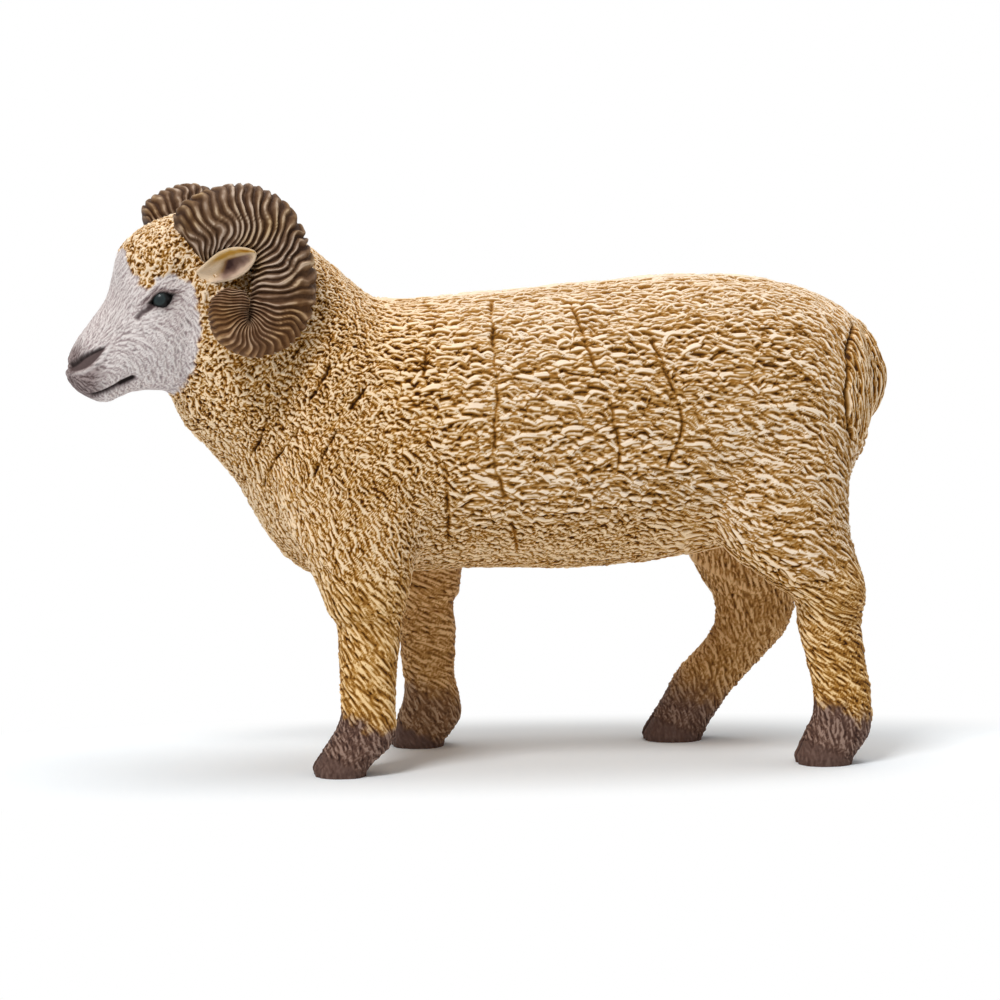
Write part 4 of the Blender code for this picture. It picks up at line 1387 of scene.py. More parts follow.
    def groove(self, points: np.ndarray, press: Press) -> None:
        """Press a line into the coat, or raise one.

        Args:
            points: the line's points on the skin.
            press: how it is pressed.
        """
        nearest = np.full(len(self.co), np.inf)
        places = walk(points, press.radius * self.line_step)
        least, more = self.gap_share
        fading = press.gaps * press.radius * np.clip(
            least + more * cloudiness(places, *self.gap_clouds), 0.0, 1.0)
        for place, faded in zip(places, fading):
            for _, index, distance in self.tree.find_range(place, press.radius * self.line_reach):
                nearest[index] = min(nearest[index], distance + faded)
        met = np.isfinite(nearest)
        share = bell(0.0, press.radius, nearest[met])
        self.height[met] = self.height[met] * (1 - press.flatten * share) - press.depth * share
        strength = share if press.depth > 0 else share * 0.5
        self.tone[met] += (press.tone - self.tone[met]) * strength
        pit = self.share["pit"]
        pit[met] = np.maximum(pit[met], press.pit * ease(*self.pit_ramp, share))

    def surface(self) -> BVHTree:
        """The bare skin, to find places on."""
        return BVHTree.FromPolygons(self.co.tolist(), self.skin.faces.tolist())

    def raise_skin(self) -> np.ndarray:
        """Move the skin out by the coat's height.

        Returns:
            The normals of the raised skin.
        """
        height, tone = self.height[:, None], self.tone[:, None]
        hair = self.hair_ease * self.share["hair"][:, None]
        for share in (self.coat_ease, hair):
            height += share * (neighbour_mean(height, self.skin.edges) - height)
        tone += hair * (neighbour_mean(tone, self.skin.edges) - tone)
        self.skin.co = self.co + self.normal * height
        soles = self.skin.co[:, 2] < self.sole_height
        self.skin.co[soles, 2] = np.where(self.normal[soles, 2] < -0.5, 0.0,
                                          np.maximum(self.skin.co[soles, 2], 0.0))
        return vertex_normals(self.skin.co, self.skin.faces)

    def values(self) -> dict[str, np.ndarray]:
        """What the paint reads from the mesh."""
        tone = np.clip(self.tone, 0.0, 1.0)
        return {"relief": tone, "across": self.across, **self.share}


def varied(chance: float, spread: float, least: float, most: float) -> float:
    """A share of about 1, spread by chance within limits."""
    return np.clip(1.0 + spread * chance, least, most)


def walk(points: np.ndarray, step: float) -> np.ndarray:
    """Walk along a line.

    Args:
        points: the line's points.
        step: about how far each step goes.

    Returns:
        The places of the steps, evenly spread.
    """
    lengths = np.linalg.norm(np.diff(points, axis=0), axis=1)
    total = np.concatenate([[0.0], np.cumsum(lengths)])
    places = np.linspace(0.0, total[-1], max(2, int(total[-1] / step) + 1))
    return np.stack([np.interp(places, total, points[:, axis]) for axis in range(3)], axis=1)


def vertex_normals(co: np.ndarray, faces: np.ndarray) -> np.ndarray:
    """Work out the normals of a mesh of four-sided faces.

    Args:
        co: its vertices.
        faces: the four vertices of each face.

    Returns:
        Each vertex's normal.
    """
    one = co[faces[:, 2]] - co[faces[:, 0]]
    other = co[faces[:, 3]] - co[faces[:, 1]]
    flat = np.cross(one, other)
    total = np.zeros_like(co)
    for axis in range(3):
        for corner in range(4):
            total[:, axis] += np.bincount(faces[:, corner], flat[:, axis], len(co))
    return unit(total)


@dataclass
class Features:
    """Lines and hollows of the fleece, face and hooves, as heights on the coat."""

    coat: Coat
    places: Places
    # How each line is pressed, and how far it wavers
    fold_press: Press = Press(0.24, 0.30, 0.04, 0.6, gaps=1.0)
    chest_press: Press = Press(0.20, 0.40, 0.0, 0.7, 0.50, 0.8)
    tail_press: Press = Press(0.32, 0.60, 0.0, 0.7, 0.35, 0.3)
    hem_shade: Press = Press(0.30, 0.30, 0.03, 0.9)
    hem_ridge: Press = Press(0.44, -0.28, 1.0, 0.4)
    lip: Press = Press(0.36, -0.12, 0.95, 0.5)
    mouth_press: Press = Press(0.32, 0.46, 0.0, 1.0, 0.8)
    corner_press: Press = Press(0.48, 0.32, 0.0, 1.0, 1.0)
    duct_press: Press = Press(0.36, 0.26, 0.02, 0.8, 0.55)
    split_press: Press = Press(0.24, 0.22, 0.15, 1.0)
    fold_unrest: float = 0.4
    chest_unrest: float = 0.35
    tail_unrest: float = 0.3
    unrest_size: float = 1.7
    unrest_step: float = 3.1
    line_step: float = 0.3
    beside: float = 30.0
    hem_shift: Triple = (0.5, 0.0, 0.5)
    lip_lift: float = 0.6
    lip_split: tuple[float, ...] = (51.0, 50.2, 49.4, 48.6)
    lip_front: float = -40.0
    # The claws: tone with its spread and share, then their swelling, rim and cleft
    claw_tone: Triple = (0.52, 0.22, 0.6)
    claw_spots: Pair = (0.8, 8.0)
    claw_swell: float = 0.10
    claw_flare: float = 0.18
    claw_flare_ramp: Ramp = (2.0, 0.5)
    claw_rim: float = 0.06
    claw_rim_tone: float = 0.12
    hoof_reach: Pair = (7.0, 6.0)
    cleft_width: float = 0.34
    cleft_depth: float = 0.55
    cleft_tone: float = 0.5
    cleft_pit: float = 0.6
    cleft_ends: Ramp = (0.35, 0.75)
    cleft_top: Ramp = (4.6, 3.0)
    # Lines seen from the side, along the figure and above the floor
    thigh_hem: Line = ((25.4, 28.9), (27.7, 27.4), (32.7, 24.1), (38.6, 20.5))
    duct: Line = ((-17.4, 60.3), (-18.2, 59.6), (-18.9, 59.2), (-19.3, 58.6))
    folds: tuple[Line, ...] = (
        ((1.0, 59.9), (0.4, 55.5), (0.4, 47.9), (0.0, 40.7), (1.5, 36.2), (4.0, 28.4)),
        ((11.1, 59.9), (12.5, 54.2), (14.3, 48.2), (15.7, 43.8), (15.8, 39.5)),
        ((-6.2, 40.2), (-5.0, 29.1)),
        ((-6.6, 57.4), (-7.9, 54.3), (-8.6, 51.3)),
        ((20.6, 55.4), (24.1, 45.1), (22.1, 39.9)))
    chest_folds: tuple[Line, ...] = (
        ((-28.0, 45.9), (-28.7, 43.8), (-29.4, 41.6)),
        ((-24.0, 45.0), (-25.6, 42.6), (-26.7, 40.9), (-27.6, 39.4), (-28.1, 37.0)),
        ((-19.8, 44.3), (-21.1, 41.8), (-22.5, 38.7)),
        ((-20.4, 52.5), (-21.5, 50.5), (-22.8, 48.4)),
        ((-16.5, 49.4), (-18.0, 47.2)),
        ((-23.7, 55.7), (-24.8, 53.4)))
    tail_line: Line = (
        (48.8, 56.8), (47.7, 55.7), (47.1, 54.6), (46.5, 51.5), (46.2, 47.6), (46.4, 45.1),
        (47.0, 42.7))
    # The dark nose, the nostrils, the mouth and the eyes, from the turned head
    nose_spots: Pair = (1.5, 5.0)
    nose_front: Ramp = (-22.2, -24.6)
    nose_low: Ramp = (54.6, 52.4)
    nose_end: Ramp = (-24.4, -26.2)
    nose_top: Ramp = (56.5, 54.5)
    nostril: Pair = (-25.1, 53.2)
    nostril_tilt: float = 38.0
    nostril_length: float = 2.8
    nostril_height: float = 0.66
    mouth: Line = (
        (-26.0, 48.5), (-24.8, 48.6), (-23.0, 49.2), (-21.2, 50.1), (-19.5, 50.9))
    eye: Pair = (-16.42, 60.9)
    eye_tilt: float = 18.0
    eye_length: float = 1.42
    eye_height: float = 0.92
    lid_drop: float = 0.70

    def carve(self) -> dict[float, tuple[Vector, Vector]]:
        """Carve every line and hollow.

        Returns:
            Each eye's place on the skin and its outward way, by side.
        """
        surface = self.coat.surface()
        groove = self.coat.groove
        for side, _ in SIDES:
            for number, fold in enumerate(self.folds):
                groove(self.laid(surface, fold, side, self.from_ram, number, self.fold_unrest),
                       self.fold_press)
            for number, fold in enumerate(self.chest_folds, 20):
                groove(self.laid(surface, fold, side, self.from_ram, number, self.chest_unrest),
                       self.chest_press)
            groove(self.laid(surface, self.tail_line, side, self.from_ram, 30, self.tail_unrest),
                   self.tail_press)
            hem = self.laid(surface, self.thigh_hem, side, self.from_ram, 40, self.fold_unrest)
            groove(hem - np.array(self.hem_shift), self.hem_shade)
            groove(hem, self.hem_ridge)
        eyes = {}
        self.nose_shade()
        self.shape_claws()
        for side, _ in SIDES:
            self.hollow_nostril(side)
            mouth = self.laid(surface, self.mouth, side, self.places.from_head)
            groove(mouth + np.array([0.0, 0.0, self.lip_lift]), self.lip)
            groove(mouth, self.mouth_press)
            groove(mouth[-len(mouth) // 3:], self.corner_press)
            groove(self.laid(surface, self.duct, side, self.places.from_head), self.duct_press)
            eyes[side] = self.socket(surface, side)
        ahead = Vector(self.places.turn() @ np.array([1.0, 0.0, 0.0]))
        starts = [self.places.from_head(np.array([self.lip_front, 0.0, z])) for z in self.lip_split]
        groove(np.array([surface.ray_cast(Vector(start), ahead)[0] for start in starts]),
               self.split_press)
        return eyes

    def from_ram(self, points: np.ndarray) -> np.ndarray:
        """Points given from the ram's middle line, in the frame."""
        return points + np.array(self.places.shift)

    def laid(self, surface: BVHTree, line: Line, side: float, back: Callable[[np.ndarray], np.ndarray],
             number: int = 0, unrest: float = 0.0) -> np.ndarray:
        """Lay a line that is drawn from the side on the skin.

        Args:
            surface: the bare skin.
            line: the line's corners.
            side: -1 for the left side, 1 for the right one.
            back: takes the line's points into the frame.
            number: the line's own number, for its unrest.
            unrest: how far it wavers.

        Returns:
            The line's points on the skin.
        """
        corners = smooth_rows(np.array([[along, 0.0, high] for along, high in line]), 6)
        points = walk(corners, self.line_step)
        points[:, 0] += unrest * cloudiness(points, self.unrest_size, self.unrest_step * number)
        hits = [self.struck(surface, along, high, side, back)[0] for along, _, high in points]
        return np.array([hit for hit in hits if hit is not None])

    def struck(self, surface: BVHTree, along: float, high: float, side: float,
               back: Callable[[np.ndarray], np.ndarray]) -> tuple[Vector | None, Vector | None]:
        """Find where the skin is met from one side.

        Args:
            surface: the bare skin.
            along: the place along the figure.
            high: the place above the floor.
            side: -1 for the left side, 1 for the right one.
            back: takes the places into the frame.

        Returns:
            The place on the skin and its outward way.
        """
        start = back(np.array([along, side * self.beside, high]))
        middle = back(np.array([along, 0.0, high]))
        return surface.ray_cast(Vector(start), Vector(middle - start))[:2]

    def nose_shade(self) -> None:
        """Store where the bare nose and lips are darker."""
        head = self.places.to_head(self.coat.co)
        spots = cloudiness(self.coat.co, *self.nose_spots)
        lower = (ease(*self.nose_front, head[:, 0] + 0.5 * spots)
                 * ease(*self.nose_low, head[:, 2] + 0.4 * spots))
        bridge = ease(*self.nose_end, head[:, 0] + 0.4 * spots) * ease(*self.nose_top, head[:, 2])
        self.coat.share["nose"] = self.coat.share["skin"] * np.maximum(lower, bridge)

    def shape_claws(self) -> None:
        """Smooth the claws, flare them to the ground, and cut their rim and cleft."""
        coat = self.coat
        claw, pit = coat.share["claw"], coat.share["pit"]
        z = coat.co[:, 2]
        middle, spread, share = self.claw_tone
        spots = cloudiness(coat.co, *self.claw_spots)
        coat.tone += (middle + spread * spots - coat.tone) * claw * share
        coat.height += claw * (self.claw_swell + self.claw_flare * ease(*self.claw_flare_ramp, z))
        rim = bell(0.4, 0.22, claw)
        coat.height -= self.claw_rim * rim
        coat.tone -= self.claw_rim_tone * rim
        reach, top = self.hoof_reach
        for sole in coat.soles.values():
            near = np.flatnonzero((np.linalg.norm(coat.co[:, :2] - sole[:2], axis=1) < reach) & (z < top))
            ends = ease(*self.cleft_ends, np.abs(coat.normal[near, 0]))
            cleft = (bell(0.0, self.cleft_width, coat.co[near, 1] - sole[1]) * ends
                     * ease(*self.cleft_top, z[near]))
            coat.height[near] -= self.cleft_depth * cleft
            coat.tone[near] -= self.cleft_tone * cleft
            pit[near] = np.maximum(pit[near], self.cleft_pit * cleft)

    def almond(self, along: np.ndarray, high: np.ndarray, tilt: float, length: float,
               height: float) -> tuple[np.ndarray, np.ndarray]:
        """Measure places in a tilted opening.

        Args:
            along: their places along the head from its middle.
            high: their heights from its middle.
            tilt: its tilt in degrees.
            length: its half length.
            height: its half height.

        Returns:
            The share of its half length and of its half height at each place.
        """
        cosine, sine = math.cos(math.radians(tilt)), math.sin(math.radians(tilt))
        return (along * cosine + high * sine) / length, (-along * sine + high * cosine) / height

    def hollow_nostril(self, side: float) -> None:
        """Hollow one nostril: brown inside, painted shadow in near-black under its upper edge, and a pale
        rim below.

        Args:
            side: -1 for the left side, 1 for the right one.
        """
        coat = self.coat
        head = self.places.to_head(coat.co)
        along, high = head[:, 0] - self.nostril[0], head[:, 2] - self.nostril[1]
        near = np.flatnonzero((side * head[:, 1] > 0.3) & (np.hypot(along, high) < 4.6))
        p, q = self.almond(along[near], high[near], self.nostril_tilt, self.nostril_length,
                           self.nostril_height)
        edge = (np.abs(q) - np.clip(1.0 - np.abs(p) ** 1.7, 0.0, 1.0)
                + 2.0 * np.clip(np.abs(p) - 1.0, 0.0, 9.0))
        inside = ease(0.20, -0.25, edge)
        # Painted shadow: near-black paint under the nostril's upper edge.
        upper = bell(-0.08, 0.26, edge) * ease(-0.1, 0.3, q)
        rim = bell(0.60, 0.36, edge) * ease(0.2, -0.5, q) * ease(-0.95, -0.50, p)
        coat.height[near] = coat.height[near] * (1 - inside) - 0.38 * inside - 0.18 * upper + 0.14 * rim
        coat.tone[near] += (0.24 - coat.tone[near]) * inside
        coat.tone[near] += (1.0 - coat.tone[near]) * 0.7 * rim
        nose, pit = coat.share["nose"], coat.share["pit"]
        nose[near] = np.maximum(nose[near], inside * coat.share["skin"][near]) * (1 - 0.55 * rim)
        pit[near] = np.maximum(pit[near], np.maximum(0.85 * upper, 0.15 * inside))

    def socket(self, surface: BVHTree, side: float) -> tuple[Vector, Vector]:
        """Hollow one eye's almond, raise its lids, and darken its lid fold and the ring round it with
        painted shade.

        Args:
            surface: the bare skin.
            side: -1 for the left side, 1 for the right one.

        Returns:
            The eye's place on the skin and its outward way.
        """
        coat = self.coat
        place, out = self.struck(surface, *self.eye, side, self.places.from_head)
        near = np.flatnonzero(np.linalg.norm(coat.co - np.array(place), axis=1) < 4.0)
        head = self.places.to_head(coat.co)[near]
        p, q = self.almond(head[:, 0] - self.eye[0], head[:, 2] - self.eye[1], self.eye_tilt,
                           self.eye_length, self.eye_height)
        above = q > 0
        q = np.where(above, q / self.lid_drop, q)
        edge = (np.abs(q) - np.clip(1.0 - np.abs(p) ** 1.6, 0.0, 1.0)
                + np.clip(np.abs(p) - 1.0, 0.0, 9.0))
        hole = ease(0.10, -0.12, edge)
        lid = bell(0.38, 0.30, edge) * np.where(above, 1.0, 0.65)
        fold = bell(1.05, 0.22, edge) * ease(-0.2, 0.6, q)
        coat.height[near] += 0.26 * lid - 0.16 * fold
        coat.height[near] = coat.height[near] * (1 - hole) - 1.1 * hole
        # Painted shade: the fold over the lid and the ring round the eye are darker, and mauve nose paint
        # lies round the eye, most above it.
        coat.tone[near] -= 0.45 * fold + 0.2 * bell(0.4, 0.5, edge)
        rim = bell(0.10, 0.26, edge) * np.where(above, 1.0, 0.75)
        shade = bell(0.0, 1.0, np.maximum(edge - 0.3, 0.0)) * np.where(above, 0.85, 0.35)
        nose, pit = coat.share["nose"], coat.share["pit"]
        pit[near] = np.maximum(pit[near], np.clip(rim + hole, 0, 1))
        nose[near] = np.maximum(nose[near], shade * coat.share["skin"][near])
        return place, out


@dataclass
class Eyes:
    """The two painted eyeballs behind their lids."""

    places: Places
    radius: float = 1.62
    depth: float = 1.30
    rings: int = 40
    around: int = 64
    glance: float = 14.0

    def make(self, name: str, place: Vector, out: Vector, finish: bpy.types.Material) -> bpy.types.Object:
        """Set one eyeball, looking out of its socket.

        Args:
            name: the piece's name.
            place: the socket's place on the skin.
            out: the skin's outward way there.
            finish: the eye's material.

        Returns:
            The eyeball.
        """
        builder = bmesh.new()
        bmesh.ops.create_uvsphere(builder, u_segments=self.around, v_segments=self.rings,
                                  radius=self.radius * MM)
        ahead = math.copysign(math.sin(math.radians(self.glance)), out.y)
        axis = Vector((ahead, 0.0, math.cos(math.radians(self.glance))))
        iris = [axis.angle(vertex.co) for vertex in builder.verts]
        turn = out.to_track_quat("Z", "Y").to_matrix().to_4x4()
        centre = (place - out * self.depth) * MM
        bmesh.ops.transform(builder, verts=builder.verts, matrix=Matrix.Translation(centre) @ turn)
        mesh = bpy.data.meshes.new(name)
        builder.to_mesh(mesh)
        builder.free()
        store(mesh, {"iris": np.clip(iris, 0, 1)})
        smooth(mesh)
        mesh.materials.append(finish)
        return linked(name, mesh)


def grid_piece(name: str, rows: np.ndarray, values: dict[str, np.ndarray],
               finish: bpy.types.Material) -> bpy.types.Object:
    """Close a tube through rows of rings and store values on its points.

    Args:
        name: the piece's name.
        rows: rings by points by three, in millimetres.
        values: one value a ring point, by name.
        finish: the piece's material.

    Returns:
        The piece.
    """
    rings, count = rows.shape[:2]
    ends = np.stack([rows[0].mean(0), rows[-1].mean(0)])
    vertices = np.vstack([rows.reshape(-1, 3), ends]) * MM
    ring = np.arange(count)
    following = np.roll(ring, -1)
    faces = []
    for index in range(rings - 1):
        low, high = index * count, (index + 1) * count
        faces.append(np.stack([low + ring, low + following, high + following, high + ring], axis=1))
    quads = np.vstack(faces).tolist()
    last = (rings - 1) * count
    tips = [[rings * count, int(b), int(a)] for a, b in zip(ring, following)]
    tips += [[rings * count + 1, int(last + a), int(last + b)] for a, b in zip(ring, following)]
    mesh = bpy.data.meshes.new(name)
    mesh.from_pydata(vertices.tolist(), [], quads + tips)
    store(mesh, {label: np.concatenate([value.ravel(), [value[0].mean(), value[-1].mean()]])
                 for label, value in values.items()})
    smooth(mesh)
    fixer = bmesh.new()
    fixer.from_mesh(mesh)
    bmesh.ops.recalc_face_normals(fixer, faces=fixer.faces)
    fixer.to_mesh(mesh)
    fixer.free()
    mesh.materials.append(finish)
    return linked(name, mesh)


@dataclass
class Horns:
    """The two ridged spiral horns."""

    places: Places
    depth: float = 15.6
    height: float = 21.3
    side_reach: float = 15.0
    half_width: float = 3.4
    front: float = 14.0
    bottom_z: float = 53.8
    ridges: int = 40
    extra_ridges: float = 9.0
    ridge_height: float = 0.42
    bend: float = -1.1
    seed: int = 3
    steps: int = 12
    around: int = 84
    squareness: float = 2.3
    crowded_from: float = 0.56
    crowding: float = 1.4
    clouds: tuple[Pair, ...] = ((4.5, 11.0), (1.7, 21.0), (0.7, 4.0), (1.1, 31.0))
    wave: Pair = (0.12, 5.0)
    broad_shift: float = 0.80
    uneven_shift: float = 0.46
    crest_share: Pair = (0.60, 0.22)
    crest_round: float = 0.7
    crest_fray: float = 0.14
    crest_middle: float = 0.45
    tip_ramp: Ramp = (0.46, 0.68)
    tip_calm: float = 0.45
    tip_tone: float = 0.44
    tip_contrast: float = 0.70
    # Outer line, inner line, reach to the side and width, all as shares, from the crown to the tip
    coil: tuple[tuple[float, ...], ...] = (
        (0.030, 0.690, 0.190, 0.500, 0.32, 0.62),
        (-0.030, 0.845, 0.180, 0.540, 0.49, 0.76),
        (0.130, 0.953, 0.230, 0.596, 0.58, 0.92),
        (0.365, 1.000, 0.320, 0.624, 0.68, 1.00),
        (0.560, 0.990, 0.410, 0.620, 0.75, 1.00),
        (0.795, 0.892, 0.487, 0.582, 0.78, 0.98),
        (0.930, 0.704, 0.520, 0.526, 0.825, 0.96),
        (1.000, 0.493, 0.500, 0.432, 0.860, 0.93),
        (0.974, 0.282, 0.468, 0.338, 0.885, 0.88),
        (0.808, 0.090, 0.430, 0.268, 0.915, 0.80),
        (0.506, 0.000, 0.404, 0.230, 0.945, 0.71),
        (0.212, 0.070, 0.391, 0.225, 0.970, 0.65),
        (0.090, 0.230, 0.397, 0.268, 0.985, 0.60),
        (0.115, 0.343, 0.404, 0.329, 0.995, 0.54),
        (0.224, 0.408, 0.365, 0.394, 1.000, 0.34))

    def make(self, name: str, side: float, finish: bpy.types.Material) -> bpy.types.Object:
        """One horn, from inside the crown to its blunt tip.

        Args:
            name: the piece's name.
            side: -1 for the left horn, 1 for the right one.
            finish: the horn's material.

        Returns:
            The horn.
        """
        dense = smooth_rows(np.array(self.coil), 60)
        way_on = np.linspace(0.0, 1.0, len(dense))
        crowded = np.clip(way_on - self.crowded_from, 0.0, 1.0) ** self.crowding
        turns = self.ridges * way_on + self.extra_ridges * crowded / crowded[-1]
        turn = np.linspace(0.0, turns[-1], int(turns[-1] * self.steps) + 1)
        share_on = np.interp(turn, turns, way_on)
        fine = np.stack([np.interp(share_on, way_on, column) for column in dense.T], axis=1)
        angle = 2 * np.pi * np.arange(self.around) / self.around
        wide, high = (np.sign(wave) * np.abs(wave) ** (2 / self.squareness)
                      for wave in (np.cos(angle), np.sin(angle)))
        outer, inner = self.coil_line(fine[:, 0:2]), self.coil_line(fine[:, 2:4])
        centre = (outer + inner) / 2
        centre[:, 1] = side * self.side_reach * fine[:, 4]
        across = np.zeros((len(fine), 3))
        across[:, 1] = self.half_width * fine[:, 5]
        bare = (centre[:, None] + across[:, None] * wide[None, :, None]
                + ((outer - inner) / 2)[:, None] * high[None, :, None])
        way = unit((bare - centre[:, None]).reshape(-1, 3)).reshape(bare.shape)
        rise, values = self.ridged(bare, turn[:, None], share_on[:, None], angle, high)
        rows = self.places.from_head((bare + way * rise[..., None]).reshape(-1, 3)).reshape(bare.shape)
        return grid_piece(name, rows, values, finish)

    def coil_line(self, shares: np.ndarray) -> np.ndarray:
        """The places of a line round the coil, given as shares of its depth and height."""
        return np.stack([self.depth * shares[:, 0] - self.front, 0 * shares[:, 0],
                         self.bottom_z + self.height * shares[:, 1]], axis=1)

    def ridged(self, bare: np.ndarray, turn: np.ndarray, share_on: np.ndarray, angle: np.ndarray,
               high: np.ndarray) -> tuple[np.ndarray, dict[str, np.ndarray]]:
        """Work out the ridges, each of its own height and tone.

        Args:
            bare: the smooth horn's points, rings by points by three.
            turn: how many ridges lie before each ring.
            share_on: how far along the horn each ring is.
            angle: each point's angle in its ring.
            high: each point's place from the coil's inside, -1, to its outside, 1.

        Returns:
            How far each point rises, and what the paint reads from it.
        """
        total = turn[-1, 0]
        broad, uneven, fray, mottle = (cloudiness(bare.reshape(-1, 3), *cloud).reshape(len(turn), -1)
                                       for cloud in self.clouds)
        swing, beat = self.wave
        sway = self.bend * ease(0.55, -0.45, high) + swing * np.sin(beat * angle)
        phase = turn + sway[None, :] + self.broad_shift * broad + self.uneven_shift * uneven
        number = np.floor(phase).astype(int)
        saw = phase - number
        own = np.random.default_rng(self.seed).uniform(0.0, 1.0, (int(total) + 12, 3))[number + 4]
        least, more = self.crest_share
        share = least + more * own[..., 0]
        crest = np.where(saw < share, np.sin(np.pi * np.clip(saw / share, 0, 1)) ** self.crest_round, 0.0)
        crest = np.clip(crest + self.crest_fray * fray, 0.0, 1.15)
        toward_tip = ease(*self.tip_ramp, share_on)
        fade = ease(0.0, 2.5, turn) * ease(total, total - 1.5, turn) * (1 - self.tip_calm * toward_tip)
        rise = (self.ridge_height * (0.65 + 0.7 * own[..., 1]) * (crest - self.crest_middle)
                * (0.35 + 0.65 * fade))
        body = 0.28 + 0.26 * own[..., 2] + 0.24 * mottle + 0.20 * fray
        inward = ease(0.9, 0.1, high)[None, :]
        line = bell(0.0, 0.11, saw - 0.30 * (1 + 0.4 * broad)) * (0.25 + 0.75 * inward)
        relief = 0.05 + crest * body + 0.52 * line * (0.45 + 0.8 * own[..., 1]) * (1.0 + 0.6 * mottle)
        relief += (self.tip_tone + self.tip_contrast * (relief - 0.40) - relief) * toward_tip
        return rise, {"relief": np.clip(relief, 0, 1), "across": phase + 0.2 * fray,
                      "tip": toward_tip + 0 * phase}


@dataclass
class Ears:
    """The two hollowed leaves between the eyes and the horns."""

    places: Places
    length: float = 8.8
    half_width: float = 2.0
    wall: float = 0.7
    cup: float = 1.0
    sweep: float = 39.0
    rise: float = 21.0
    root: Triple = (-11.69, 8.316, 63.66)
    steps: int = 18
    # Place along the ear, half width and wall, as shares, from the root to the tip
    leaf: tuple[Triple, ...] = (
        (0.00, 0.55, 1.20), (0.18, 0.72, 1.10), (0.38, 0.94, 1.00), (0.56, 1.00, 1.00),
        (0.74, 0.86, 0.95), (0.88, 0.58, 0.85), (0.96, 0.32, 0.70), (1.00, 0.12, 0.50))

    def make(self, name: str, side: float, finish: bpy.types.Material) -> bpy.types.Object:
        """One ear.

        Args:
            name: the piece's name.
            side: -1 for the left ear, 1 for the right one.
            finish: the ear's material.

        Returns:
            The ear.
        """
        sweep, rise = math.radians(self.sweep), math.radians(self.rise)
        way = np.array([math.sin(sweep) * math.cos(rise), side * math.cos(sweep) * math.cos(rise),
                        math.sin(rise)])
        out = np.array([-math.cos(sweep), side * math.sin(sweep), -math.sin(rise)])
        across = np.cross(way, out)
        across /= np.linalg.norm(across)
        out = np.cross(across, way)
        root = np.array([self.root[0], side * self.root[1], self.root[2]])
        fine = smooth_rows(np.array(self.leaf), 8)
        place = np.arange(-self.steps, self.steps + 1) / self.steps
        rows, reliefs, hollows, strands = [], [], [], []
        for along, half, wall in fine:
            centre = root + way * self.length * along
            bow = self.cup * half * (1 - place ** 2)
            thick = self.wall * wall * np.sqrt(np.clip(1 - place ** 4, 0, 1))
            line = centre + np.outer(place, across) * self.half_width * half
            back = line - np.outer(bow, out)
            dip = thick * (1.0 - 0.75 * ease(0.78, 0.5, np.abs(place)) * ease(0.0, 0.2, along)
                           * ease(1.0, 0.86, along))
            front = line + np.outer(dip - bow, out)
            rows.append(np.vstack([back, front[-2:0:-1]]))
            ends = ease(0.96, 0.78, along) * ease(0.0, 0.22, along - 0.24 + 0.22 * place * -side)
            down = -side * place
            inside = ease(-0.42, -0.18, down - 0.5 * (along - 0.5)) * ease(0.96, 0.76, down) * ends
            band = bell(-0.62, 0.30, down) * ease(0.12, 0.45, along)
            spot = bell(-0.42, 0.2, down) * bell(0.84, 0.09, along)
            outer = 0.70 - 0.50 * band - 0.40 * spot
            cup = 0.16 + 0.62 * ease(0.15, 0.85, down) + 0.22 * along - 0.25 * bell(0.42, 0.14, along)
            front_relief = outer + (cup - outer) * inside
            reliefs.append(np.concatenate([0.45 + 0.3 * np.abs(place), front_relief[-2:0:-1]]))
            hollows.append(np.concatenate([0 * place, inside[-2:0:-1]]))
            strands.append(np.concatenate([place * 2.0, place[-2:0:-1] * 2.0]))
        shape = np.array(rows)
        grain = cloudiness(shape.reshape(-1, 3), 0.9, 2.0).reshape(shape.shape[:2])
        placed = self.places.from_head(shape.reshape(-1, 3)).reshape(shape.shape)
        values = {"relief": np.clip(np.array(reliefs) + 0.14 * grain, 0, 1),
                  "hollow": np.array(hollows), "across": np.array(strands)}
        return grid_piece(name, placed, values, finish)


def seen_directly(wire: Wiring) -> Socket:
    """1 where the camera looks, straight, by mirror or through glass, and 0 for all other light."""
    seen = wire.node("ShaderNodeLightPath").outputs
    return wire.math("MAXIMUM", wire.math("MAXIMUM", seen["Is Camera Ray"], seen["Is Glossy Ray"]),
                     seen["Is Transmission Ray"])


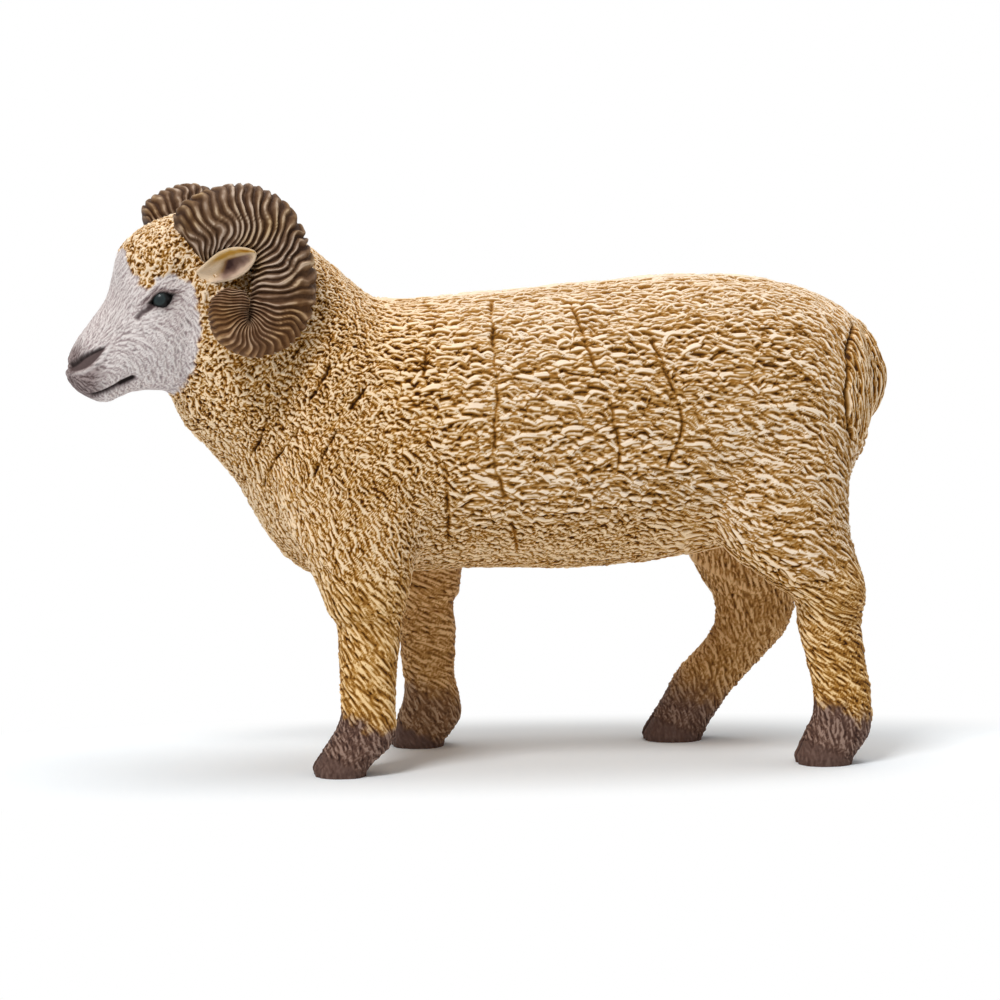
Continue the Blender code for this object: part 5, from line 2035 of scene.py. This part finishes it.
@dataclass
class Studio:
    """Floor, lamps and camera of the photograph.

    The camera's place is in millimetres. The lamps, the floor and the shadow's reach are in metres.
    """

    eye_place: Triple = (-63.44, -441.34, 75.1)
    pitch: float = 5.25
    turn: float = 8.5
    lens: float = 123.12
    sensor: float = 36.0
    shadow_squeeze: Triple = (1.0, 2.8, 1.0)
    shadow_reach: Ramp = (0.062, 0.105)
    floor_reach: float = 30.0
    floor_colour: Colour = (0.90, 0.935, 0.96)
    floor_roughness: float = 0.9
    world_level: float = 0.40
    lamps: tuple[tuple[str, Triple, float, float], ...] = (
        ("key", (-0.35, -0.45, 0.75), 0.24, 4.6), ("top", (0.10, 0.10, 0.90), 0.60, 3.7))
    aim: Triple = (0.0, 0.0, 0.035)

    def floor(self) -> bpy.types.Object:
        """A plain pale floor that runs out of view."""
        mesh = bpy.data.meshes.new("floor")
        reach = self.floor_reach
        corners = [(-reach, -reach, 0), (reach, -reach, 0), (reach, reach, 0), (-reach, reach, 0)]
        mesh.from_pydata(corners, [], [(0, 1, 2, 3)])
        mesh.materials.append(self.paper())
        made = linked("floor", mesh)
        return made

    def paper(self) -> bpy.types.Material:
        """Matt paper, which goes over into plain white beyond the figure's shadow."""
        material = bpy.data.materials.new("floor_paper")
        material.use_nodes = True
        shader = material.node_tree.nodes["Principled BSDF"]
        shader.inputs["Roughness"].default_value = self.floor_roughness
        shader.inputs["Specular IOR Level"].default_value = 0.0
        wire = Wiring(material.node_tree)
        wire.feed(shader.inputs["Base Color"], self.floor_colour)
        spot = wire.node("ShaderNodeVectorMath", operation="MULTIPLY")
        wire.feed(spot.inputs[0], wire.place())
        wire.feed(spot.inputs[1], self.shadow_squeeze)
        far = wire.node("ShaderNodeVectorMath", operation="LENGTH")
        wire.feed(far.inputs[0], spot.outputs[0])
        away = wire.soft_step(far.outputs["Value"], *self.shadow_reach)
        white = wire.node("ShaderNodeEmission")
        both = wire.node("ShaderNodeMixShader")
        wire.feed(both.inputs[0], wire.math("MULTIPLY", away, seen_directly(wire)))
        wire.feed(both.inputs[1], shader.outputs[0])
        wire.feed(both.inputs[2], white.outputs[0])
        wire.feed(material.node_tree.nodes["Material Output"].inputs["Surface"], both.outputs[0])
        return material

    def lamp(self, name: str, place: Triple, size: float, power: float) -> None:
        """Hang a soft square lamp that looks at the figure.

        Args:
            name: the lamp's name.
            place: where it hangs, in metres.
            size: its side in metres.
            power: its power in watts.
        """
        light = bpy.data.lights.new(name, "AREA")
        light.shape = "SQUARE"
        light.size = size
        light.energy = power
        made = linked(name, light)
        made.location = place
        made.rotation_euler = (Vector(self.aim) - Vector(place)).to_track_quat("-Z", "Y").to_euler()

    def world(self) -> None:
        """Even light from all round, with a white backdrop behind."""
        world = bpy.data.worlds.new("studio")
        world.use_nodes = True
        bpy.context.scene.world = world
        wire = Wiring(world.node_tree)
        level = self.world_level
        strength = wire.math("MULTIPLY_ADD", seen_directly(wire), 1.0 - level, level)
        background = world.node_tree.nodes["Background"].inputs
        wire.feed(background["Color"], (1.0, 1.0, 1.0))
        wire.feed(background["Strength"], strength)

    def camera(self) -> None:
        """The photograph's camera."""
        data = bpy.data.cameras.new("camera")
        data.lens = self.lens
        data.sensor_width = self.sensor
        made = linked("camera", data)
        made.location = Vector(self.eye_place) * MM
        made.rotation_euler = (math.radians(90.0 - self.pitch), 0.0, math.radians(-self.turn))
        bpy.context.scene.camera = made

    def make(self) -> None:
        """Set up the whole studio."""
        self.floor()
        self.world()
        for name, place, size, power in self.lamps:
            self.lamp(name, place, size, power)
        self.camera()
        bpy.context.scene.view_settings.view_transform = "Standard"


COAT_PIECES = (
    ("torso_fleece", "torso", Slot.FLEECE), ("head_fleece_and_face", "head", Slot.FACE),
    ("tail_fleece", "tail", Slot.FLEECE), ("front_leg_left", "leg_front_left", Slot.LEG),
    ("front_leg_right", "leg_front_right", Slot.LEG), ("rear_leg_left", "leg_rear_left", Slot.LEG),
    ("rear_leg_right", "leg_rear_right", Slot.LEG))


def place(piece: bpy.types.Object, slot: Slot, *nodes: str) -> None:
    """Hang a piece on the figure, hide the nodes that it stands for and log its faces.

    Args:
        piece: the piece.
        slot: its material slot; not used.
        nodes: the record's nodes that it stands for.
    """
    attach(piece, BODY)
    if nodes:
        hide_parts(*nodes)
    log.info("%s: %d faces", piece.name, len(piece.data.polygons))


def main() -> None:
    """Build the figure and its studio."""
    logging.basicConfig(level=logging.INFO, format="%(asctime)s %(message)s")
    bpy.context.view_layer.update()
    places = Places()
    finishes = Finishes()
    skin = Skin()
    skin.make()
    log.info("skin: %d points", len(skin.co))
    coat = Coat(skin, places)
    coat.lay()
    eyes = Features(coat, places).carve()
    normals = coat.raise_skin()
    values = coat.values()
    painted_coat = finishes.coat()
    for name, node, slot in COAT_PIECES:
        piece = skin.piece(name, node, values, normals)
        piece.data.materials.append(painted_coat)
        place(piece, slot, node)
    horn, ear, eye = finishes.horn(), finishes.ear(), finishes.eye()
    for side, label in SIDES:
        place(Horns(places).make("ridged_horn_" + label, side, horn), Slot.HORN, "horn_" + label)
        place(Ears(places).make("leaf_ear_" + label, side, ear), Slot.EAR, "ear_" + label)
        place(Eyes(places).make("eye_" + label, *eyes[side], eye), Slot.FACE)
    Studio().make()


if __name__ == "__main__":
    main()
